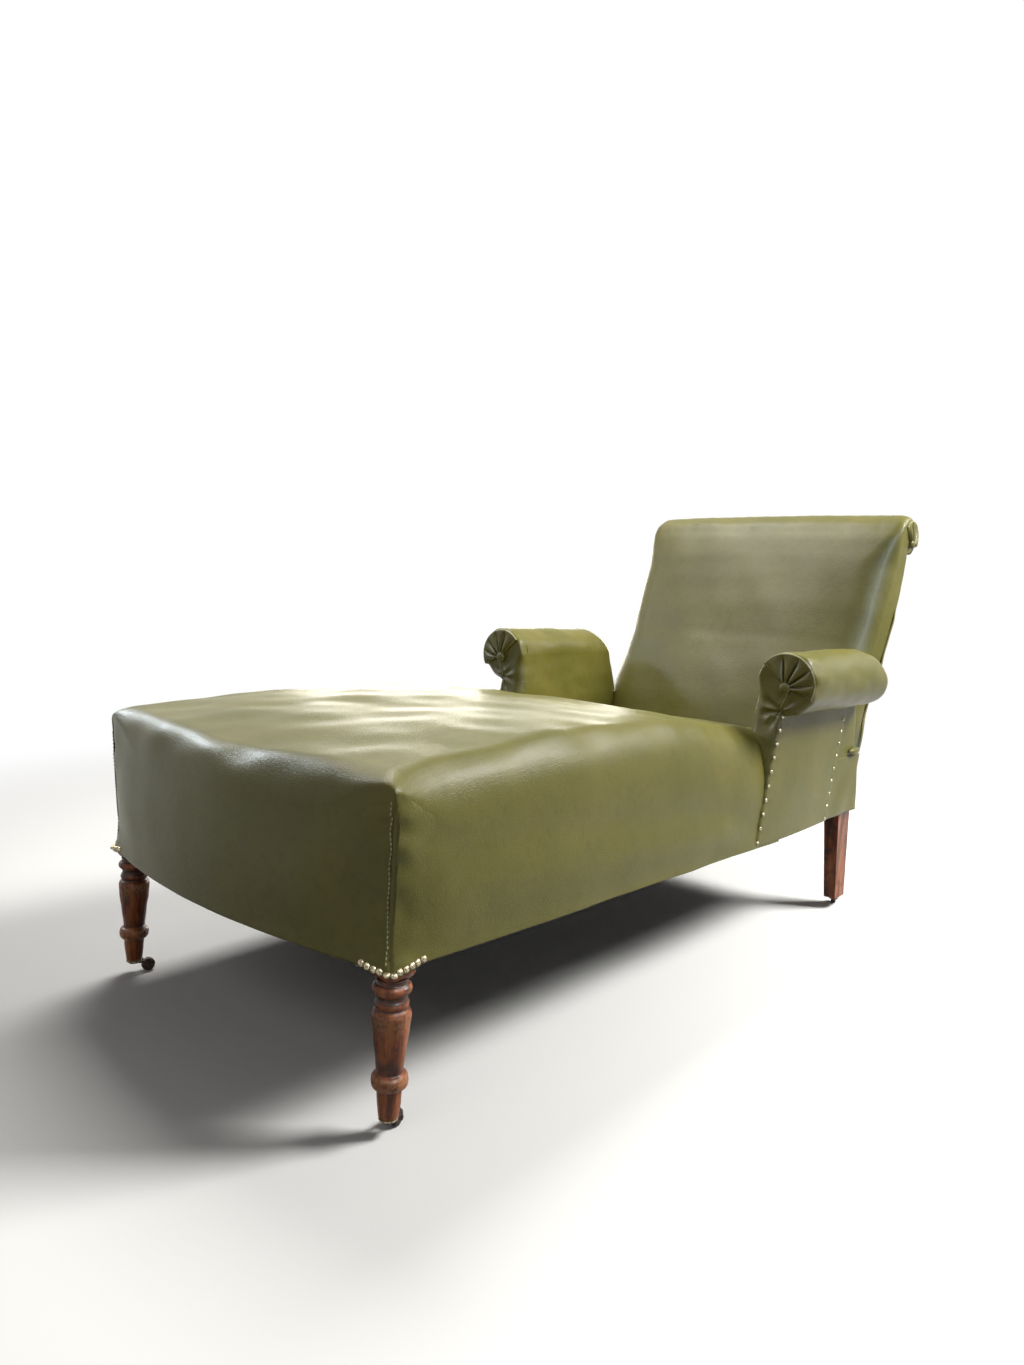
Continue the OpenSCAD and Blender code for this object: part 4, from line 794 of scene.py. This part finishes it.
brass = Finish("antique_brass")
dull = brass.noise(420.0, 3.0)
brass.set(Base_Color=brass.blend(brass.step(dull, 0.35, 0.7), paint(112, 98, 74), paint(214, 203, 172)),
          Metallic=0.85, Roughness=0.26 + 0.25 * dull,
          Normal=brass.bump(brass.noise(900.0), 0.0002, 0.4))
for s, hand in ((-1, "left"), (1, "right")):
    panel = skin_mesh(f"outside_arm_panel_{hand}", panel_patches(s), panel_relief)
    cover = skin_mesh(f"rear_border_{hand}", cover_patches(s), cover_relief)
    curl = skin_mesh(f"wrap_fold_{hand}", curl_patches(s))
    for piece in (panel, cover, curl):
        leather.on(piece)
        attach(piece, "couch")
    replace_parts(panel, f"outside_arm_{hand}")
    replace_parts(cover, f"rear_side_cover_{hand}")
    rows = [(s * panel_out, raked(z, aside), z)
            for aside in (pin_in_front, panel_span - pin_in_rear) for z in pin_z]
    pins = scattered(f"panel_pins_{hand}", panel, rows, (0, 0, 1), bead(pin_head), head_sunk)
    brass.on(pins)
    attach(pins, "couch")
    if hand == "left":
        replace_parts(pins, "arm_pins")

# Rosettes close the scroll ends: the roll's leather is folded into five pleats round a covered
# button and sewn to it. The pleats fan over the top, and their edges are rubbed pale. Below the fan
# the arm's own front shows, with the seam that closes it.
pleat_folds = (-0.073, 0.012, 0.093, 0.180, 0.272, 0.395)
rubbed_folds = (-0.073, 0.012, 0.395)
fold_wander = 0.005


def rosette_patches(radius, offset, high, seed, skirt, sink):
    """A disc in its own plane: rings run from a skirt behind the rim to the button, ring q lies at q
    of the radius, and its middle is moved to the button. Angles are shares of a turn. Each pleat
    swells between two sharp folds, highest at its later one. The plain part between the last fold
    and the first is sunk behind the roll's end."""
    draw = np.random.default_rng(seed)
    shift = draw.uniform(-fold_wander, fold_wander, len(pleat_folds))
    fold = (np.array(pleat_folds) + shift) % 1.0
    pale = np.isin(pleat_folds, rubbed_folds)
    order = np.argsort(fold)
    fold = fold[order]
    pale = pale[order]
    beside = [(fold + way) % 1 for way in (0.004, -0.004, 0.009, -0.009)]
    around = np.unique(np.concatenate([np.linspace(0, 1, 181), fold] + beside))
    after = np.searchsorted(fold, around, side="right") % len(fold)
    before = (after - 1) % len(fold)
    span = (fold[after] - fold[before]) % 1.0
    within = (around - fold[before]) % 1.0
    left = span - within
    share = within / np.maximum(span, 0.01)
    plain = span > 0.3

    q = np.concatenate([[0.88, 0.96, 1.0], np.linspace(0.985, 0.08, 30)])[:, None]
    dome = 0.12 + 0.88 * np.sin(np.linspace(0.1, 1, 30) * math.pi / 2) ** 0.6
    height = np.concatenate([[-skirt / high, -0.4 * skirt / high, 0.12], dome])
    height = height[:, None] * (1 - 0.4 * ease((0.35 - q) / 0.3))
    valley = np.exp(-(within / 0.009) ** 1.3) + 0.7 * np.exp(-(left / 0.006) ** 1.3)
    ramp = np.where(plain, 0.25, 0.25 * (1 - share))
    deep = ease((1.02 - q) / 0.3) * ease(q / 0.3)
    puff = np.where(plain, 1, np.sin(math.pi * np.clip(share, 0, 1)) ** 0.8)
    lift = high * (height * (1 - 0.62 * deep * (1 - puff)) - 0.35 * deep * valley - 0.4 * deep * ramp)
    under = plain * ease(within / 0.02) * ease(left / 0.02) * ease((q - 0.12) / 0.1)
    lift = lift * (1 - under) - sink * under
    angle = around * 2 * math.pi
    u = radius * q * np.cos(angle) + offset[0] * (1 - q)
    v = radius * q * np.sin(angle) + offset[1] * (1 - q)

    rim = hump(q - 0.985, 0.022) * np.where(plain, 0, 0.35 + 0.65 * ease((around - 0.05) / 0.2))
    edge = hump(within - 0.006, 0.006) * pale[before] * ~plain
    edge = edge + hump(left - 0.006, 0.006) * pale[after] * ~plain
    worn = np.maximum(edge * ease((1.05 - q) / 0.2), rim) + 0 * lift
    return u, v, lift, worn


def kept_mark(points, mark):
    """The marks that the grids already carry: scuffed ridges, the legs' rings and grooves, and a painted
    highlight at the buttons' rims.
    """
    return mark


def wear_and_highlight_piece(name, points, worn):
    """A leather piece of one grid of points, each made as pale as given: scuffed ridges, and at the
    buttons' rims a painted highlight.
    """
    piece = skin_mesh(name, [np.concatenate([points, worn[..., None]], -1)], None, kept_mark)
    leather.on(piece)
    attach(piece, "couch")
    return piece


def rosette_piece(name, node, s, place, patch):
    """Stands the disc at a place, facing its own way, in the place of a CAD node."""
    u, v, lift, worn = patch
    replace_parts(wear_and_highlight_piece(name, place(u, v, lift, s), worn), node)


def on_arm(u, v, lift, s):
    """On the arm's front: outward is towards the foot."""
    return np.stack([s * (scroll_x + u), arm_front - lift, scroll_z + v], -1)


def on_back(u, v, lift, s):
    """On the roll's end, a little behind and below its middle: outward is to the side."""
    return np.stack([s * (back_half + lift), roll_y + 0.004 + u, roll_z - 0.009 + v], -1)


def button_piece(name, s, place, at, radius, high):
    """A covered button: a low dome over a rounded edge, with its leather drawn under. Its height is
    the root of 1 - t to the power 2.4, with t the share of its radius. The pale ring at its rim is a
    painted highlight."""
    around = np.linspace(0, 2 * math.pi, 41)
    over = np.linspace(0, 0.999, 12)
    t = np.concatenate([over, [1.0, 0.97, 0.9]])[:, None]
    up = np.concatenate([np.sqrt(np.maximum(0, 1 - over ** 2.4)), [-0.1, -0.3, -0.5]])[:, None]
    u = at[0] + radius * np.maximum(t, 0.001) * np.cos(around)
    v = at[1] + radius * np.maximum(t, 0.001) * np.sin(around)
    dome = place(u, v, at[2] + high * up + 0 * u, s)
    # The pale ring near the rim is a painted highlight.
    return wear_and_highlight_piece(name, dome, hump(t - 0.93, 0.08) + 0 * u)


def welt(name, ground, line, radius):
    """A rubbed ridge of leather: a tube, half sunk, along the ground's nearest points to a line."""
    tree = BVHTree.FromObject(ground, bpy.context.evaluated_depsgraph_get())
    hits = [tree.find_nearest(Vector(spot) + Vector((0, foot_line, 0)))[:2] for spot in line]
    middle = np.array([hit[0] for hit in hits]) - [0, foot_line, 0]
    normal = np.array([hit[1] for hit in hits])
    way = np.gradient(middle, axis=0)
    aside = np.cross(way / np.linalg.norm(way, axis=1)[:, None], normal)
    turn = np.linspace(0, 2 * math.pi, 9)[None, :, None]
    around = normal[:, None] * (np.cos(turn) - 0.2) + aside[:, None] * np.sin(turn)
    ring = middle[:, None] + radius * around
    wear_and_highlight_piece(name, ring, 0 * ring[..., 0] + 1)


# A button's place on its disc, across, up and out.
arm_button = (0.001, -0.007, 0.0056)
back_button = (-0.003, -0.015, 0.0046)
down = np.linspace(0, 1, 24)
seam_x = scroll_x + 0.002 - 0.008 * ease(down) + 0.004 * np.sin(math.pi * down)
seam_y = arm_front - 0.004 - 0.006 * down
seam_z = scroll_z - 0.014 - 0.036 * down
for s, hand in ((-1, "left"), (1, "right")):
    rosette_piece(f"arm_rosette_{hand}_pleats", f"arm_rosette_{hand}", s, on_arm,
                  rosette_patches(scroll_r - 0.001, arm_button, high=0.0110, seed=50 + s, skirt=0.007,
                                  sink=0.024))
    rosette_piece(f"back_rosette_{hand}_pleats", f"back_rosette_{hand}", s, on_back,
                  rosette_patches(roll_r - 0.004, back_button, high=0.0080, seed=60 + s, skirt=0.012,
                                  sink=0.004))
    button = button_piece(f"arm_button_{hand}", s, on_arm, arm_button, radius=0.0108, high=0.0052)
    if hand == "left":
        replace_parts(button, "rosette_buttons")
    welt(f"arm_seam_{hand}", arms[hand], np.stack([s * seam_x, seam_y, seam_z], -1), radius=0.0011)
    button_piece(f"back_button_{hand}", s, on_back, back_button, radius=0.0085, high=0.0045)

# Nails with domed heads of the same antique brass hold the leather's V to the leg blocks, six on
# either side of each corner.
nail_gaps = np.linspace(0.0045, 0.049, 6)
nail_head = (0.0046, 0.0046, 0.0034)
spots = []
for s in (-1, 1):
    for gap in nail_gaps:
        z = rail_low + 0.0015 - leg_dip * (1 - gap / leg_v)
        spots += [(s * (corner_line - gap), -0.006, z), (s * (half_w + leather_out), gap, z)]
nails = scattered("leg_nail_heads", seat, spots, (0, 0, 1), bead(nail_head, 8, 14), head_sunk)
brass.on(nails)
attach(nails, "couch")
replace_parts(nails, "leg_nails")

# The front legs are turned walnut with a square block above, which the corner leather is nailed to.
# They are French polished, dark in the grooves and rubbed pale on the rings. Both outlines are
# (height, radius) in millimetres, the leg's from its foot and the block's from its lower end.
leg_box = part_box("front_leg_right")
leg_x = (leg_box[0].x + leg_box[1].x) / 2
leg_y = (leg_box[0].y + leg_box[1].y) / 2 - foot_line
leg_foot = leg_box[0].z
leg_line = ((0, 0), (0, 10.5), (2, 12.2), (18, 14.2), (34.5, 15.3), (36, 15.4), (37.4, 17), (39, 19.6),
            (42.5, 21.8), (47.5, 22.4), (52.5, 21.6), (55.5, 19.4), (56.8, 17), (58, 16.2), (59.5, 16.1),
            (73, 17.6), (93, 20.0), (113, 22.3), (125, 23.4), (130, 23.3), (134, 21.6), (136, 19.2),
            (137.6, 18.7), (139.2, 20.4), (142.6, 20.9), (146, 19.6), (148, 18.2), (150, 18.1), (153, 19),
            (155, 21), (157.5, 23.2), (160.5, 23.9), (163.5, 23.2), (166, 21), (167.5, 19.1), (170, 18.7),
            (173, 19.4), (173.4, 12))
block_line = ((0, 10), (0, 16.5), (2, 18.2), (6, 20.5), (9, 20.8), (12, 16), (118, 16), (121, 14),
              (121, 0))
block_high = 0.121


def leg_patches(s):
    """A lathe of the leg's line, and a block whose sections are squares with rounded corners: a
    power of cosine and sine. The fourth channel is how far the line stands proud of a calmer one,
    from -1 to 1 over 3 mm either way."""
    line = drawn(np.array(leg_line) / 1000, 300, 0.0005)
    calm = np.sort(drawn(np.array(leg_line) / 1000, 300, 0.010), axis=0)
    proud = np.clip((line[:, 1] - np.interp(line[:, 0], *calm.T)) / 0.003, -1, 1)
    turn = np.linspace(0, 2 * math.pi, 73)
    x = leg_x + line[:, 1:] * np.cos(turn)
    y = leg_y + line[:, 1:] * np.sin(turn)
    lathe = np.stack([s * x, y, leg_foot + line[:, :1] + 0 * x, proud[:, None] + 0 * x], -1)
    side = drawn(np.array(block_line) / 1000, 80)
    square = np.stack([np.sign(w) * np.abs(w) ** 0.22 for w in (np.cos(turn), np.sin(turn))], -1)
    place = side[:, 1, None, None] * square
    high = rail_top - block_high + side[:, :1] + 0 * place[..., 0]
    block = np.stack([s * (leg_x + place[..., 0]), leg_y + place[..., 1], high, 0.3 + 0 * high], -1)
    return [lathe, block]


def leg_relief(points, normals, mark):
    """The unevenness of hand turning and of wear."""
    return lumps(points, (0.00025, 0.02, 70))


def walnut_finish(name, turned):
    """Streaked grain along the leg, darker pores and stains, and pale edges on what was turned."""
    wood = Finish(name)
    streak = wood.noise(1.0, 5.0, wood.stretched((75.0, 75.0, 9.0)), 0.6)
    pores = wood.noise(1.0, 4.0, wood.stretched((420.0, 420.0, 34.0)), 0.6)
    stain = wood.noise(30.0, 3.0)
    tone = wood.node("ValToRGB", {"stops": (
        (0.30, paint(56, 26, 14)), (0.45, paint(118, 60, 32)), (0.57, paint(164, 94, 52)),
        (0.72, paint(200, 126, 74)))}, {"Fac": streak})
    tone = wood.blend(wood.step(pores, 0.55, 0.75) * 0.45, tone, paint(46, 25, 16))
    tone = wood.blend(wood.step(stain, 0.56, 0.72) * 0.75, tone, paint(44, 24, 18))
    if turned:
        proud = wood.node("Attribute", {"attribute_name": "worn"}, (), "Fac")
        rub = wood.step(proud, 0.35, 0.9) * wood.step(wood.noise(220.0), 0.35, 0.6)
        tone = wood.blend(rub * 0.6, tone, paint(190, 140, 100))
        tone = wood.blend(wood.step(0 - proud, 0.2, 0.8) * 0.8, tone, paint(30, 17, 12))
    wood.set(Base_Color=tone, Roughness=0.3 + 0.3 * pores, Coat_Weight=0.1, Coat_Roughness=0.2,
             Normal=wood.bump(pores + streak, 0.0005, 0.45), Specular_IOR_Level=0.3)
    return wood


turned_walnut = walnut_finish("turned_walnut", True)
for s, hand in ((-1, "left"), (1, "right")):
    leg = skin_mesh(f"turned_leg_{hand}", leg_patches(s), leg_relief, kept_mark)
    turned_walnut.on(leg)
    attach(leg, "couch")
    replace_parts(leg, f"front_leg_{hand}")

# The rear legs are square, tapered and raked, cut in one piece with the uprights behind the back.
# They are of the same polished walnut, without a turner's grooves and rings.


def dress(finish, *nodes):
    """Gives CAD nodes a finish."""
    for node in nodes:
        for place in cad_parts[node].material_slots:
            place.material = finish.material


dress(walnut_finish("rear_walnut", False), "rear_upright_left", "rear_upright_right")

# Castors: a brass plate screwed under the leg, a cast iron fork that swivels on its pintle in the
# plate, and an iron wheel on a riveted axle. All four are the solids, as they are made.
dress(brass, "castor_plates", "castor_screws")
iron = Finish("castor_iron")
rust = iron.noise(260.0, 4.0)
iron.set(Base_Color=iron.blend(iron.step(rust, 0.45, 0.7), paint(44, 42, 42), paint(92, 66, 48)),
         Metallic=0.8, Roughness=0.35 + 0.3 * rust, Normal=iron.bump(rust, 0.0004, 0.5))
for corner in ("front_left", "front_right", "back_left", "back_right"):
    dress(iron, f"castor_fork_{corner}", f"castor_axle_{corner}", f"castor_wheel_{corner}")

# Inside the covers are a glued and screwed frame of sawn beech, jute webbing tacked to it, hessian
# over iron springs, and a black dust cloth tacked beneath. Only the dust cloth can be seen.
dress(iron, "seat_springs", "corner_screws")
beech = Finish("beech")
ring = beech.noise(1.0, 4.0, beech.stretched((60.0, 8.0, 60.0)))
beech.set(Base_Color=beech.blend(beech.step(ring, 0.35, 0.65), paint(196, 158, 112),
                                 paint(168, 124, 80)),
          Roughness=0.55 + 0.2 * ring, Normal=beech.bump(ring, 0.0004, 0.5))
dress(beech, "foot_rail", "side_rail_left", "side_rail_right", "head_rail", "cross_rail",
      "corner_blocks", "back_top_rail", "back_tack_rail")
for hand in ("left", "right"):
    dress(beech, f"arm_post_{hand}", f"arm_rail_{hand}", f"arm_stay_{hand}")


def woven_finish(name, threads, dark, light):
    """A plain weave: two crossed waves of threads, their height set against each other."""
    cloth = Finish(name)
    warp, weft = (cloth.node("TexWave", {"bands_direction": way},
                             {"Vector": cloth.place, "Scale": threads}, "Fac") for way in "XY")
    weave = warp * weft
    cloth.set(Base_Color=cloth.blend(weave, paint(*dark), paint(*light)), Roughness=0.85 + 0.1 * warp,
              Normal=cloth.bump(weave, 0.0004, 0.6))
    return cloth


dress(woven_finish("jute", 140.0, (128, 102, 64), (188, 160, 112)),
      "seat_webbing", "back_webbing", "spring_hessian")
dress(woven_finish("dust_cloth", 260.0, (24, 24, 24), (48, 47, 46)), "bottom_cloth")

# A studio floor of white paper lies under the couch. The camera and mirror rays see it white but for
# the shadow, and it gives little light back from below. It goes over into plain white far out.
white = Finish("studio_floor")
floor_white, floor_bounce = 0.97, 0.12
white_from, white_beyond = 1.25, 2.4


def by_sight(finish):
    """1 for rays from the camera, a mirror or through glass, and 0 for others."""
    kinds = [finish.node("LightPath", (), (), kind) for kind in
             ("Is Camera Ray", "Is Glossy Ray", "Is Transmission Ray")]
    first = finish.node("Math", {"operation": "MAXIMUM"}, {0: kinds[0], 1: kinds[1]})
    return finish.node("Math", {"operation": "MAXIMUM"}, {0: first, 1: kinds[2]})


floor_seen = by_sight(white)
from_middle = white.node("VectorMath", {"operation": "LENGTH"}, {0: white.place}, "Value")
distant = white.step(from_middle, white_from, white_beyond) * floor_seen
near_tone = white.blend(floor_seen, (floor_bounce,) * 3 + (1,), (floor_white,) * 3 + (1,))
white.set(Base_Color=white.blend(distant, near_tone, (0, 0, 0, 1)),
          Emission_Color=white.blend(distant, (0, 0, 0, 1), (1, 1, 1, 1)), Emission_Strength=1.0,
          Roughness=0.9, Specular_IOR_Level=0.0)
floor_mesh = bpy.data.meshes.new("floor")
far = 60.0
floor_mesh.from_pydata([(-far, -far, 0), (far, -far, 0), (far, far, 0), (-far, far, 0)], [],
                       [(0, 1, 2, 3)])
floor = bpy.data.objects.new("floor", floor_mesh)
bpy.context.scene.collection.objects.link(floor)
white.on(floor)


# The light is a warm window at the right, a soft box over the seat and a faint one before the foot.
# The cards stand where the room's windows, door and walls show in the leather's satin gloss.
def lamp(name, place, target, size, power, tint, lights=True):
    """A rectangular area lamp at a place, turned to a target, with its size in metres and its power
    in watts. One that does not light is a card, which only shows as a sheen on leather and metal."""
    data = bpy.data.lights.new(name, "AREA")
    data.shape = "RECTANGLE"
    data.size, data.size_y = size
    data.energy = power
    data.color = tint
    thing = bpy.data.objects.new(name, data)
    thing.location = place
    thing.rotation_euler = (Vector(target) - Vector(place)).to_track_quat("-Z", "Y").to_euler()
    thing.visible_diffuse = lights
    bpy.context.scene.collection.objects.link(thing)


lamp("window_lamp", (1.9, 1.7, 2.5), (0, 0, 0.3), (1.1, 0.9), 150, (1.0, 0.99, 0.95))
lamp("soft_box", (-0.9, 0.4, 2.7), (0, 0.3, 0.6), (1.3, 0.9), 52, (1.0, 0.98, 0.94))
lamp("front_box", (0.9, -2.6, 1.9), (0, 0, 0.4), (1.4, 1.0), 6, (1.0, 0.98, 0.95))
lamp("back_card", (-1.2, -0.9, 2.9), (0, 0.6, 0.6), (1.0, 0.8), 44, (1.0, 0.98, 0.92), False)
lamp("side_card", (-2.5, -0.9, 1.7), (0, -0.6, 0.4), (0.7, 0.3), 40, (0.84, 0.93, 1.0), False)
lamp("far_card", (-2.9, 2.8, 0.9), (0, 0, 0.4), (2.4, 0.6), 52, (1.0, 0.96, 0.86), False)
lamp("door_card", (-1.5, 3.8, 0.95), (0, 0.1, 0.4), (1.4, 0.8), 80, (1.0, 0.96, 0.86), False)
lamp("right_card", (1.9, -0.7, 2.0), (0.3, 0.6, 0.6), (0.4, 1.4), 68, (0.76, 0.9, 1.0), False)
world = bpy.data.worlds.new("sky")
world.use_nodes = True
sky = world.node_tree


class Sky:
    """The world's nodes, built the same way as a finish: white to the eye, faint to the couch."""
    tree = sky
    feed = Finish.feed
    node = Finish.node


ambient = 0.08
sky_seen = by_sight(Sky())
sky.nodes["Background"].inputs["Color"].default_value = (1, 1, 1, 1)
sky.links.new((sky_seen * (1 - ambient) + ambient).socket, sky.nodes["Background"].inputs["Strength"])
bpy.context.scene.world = world
bpy.context.scene.view_settings.view_transform = "Standard"
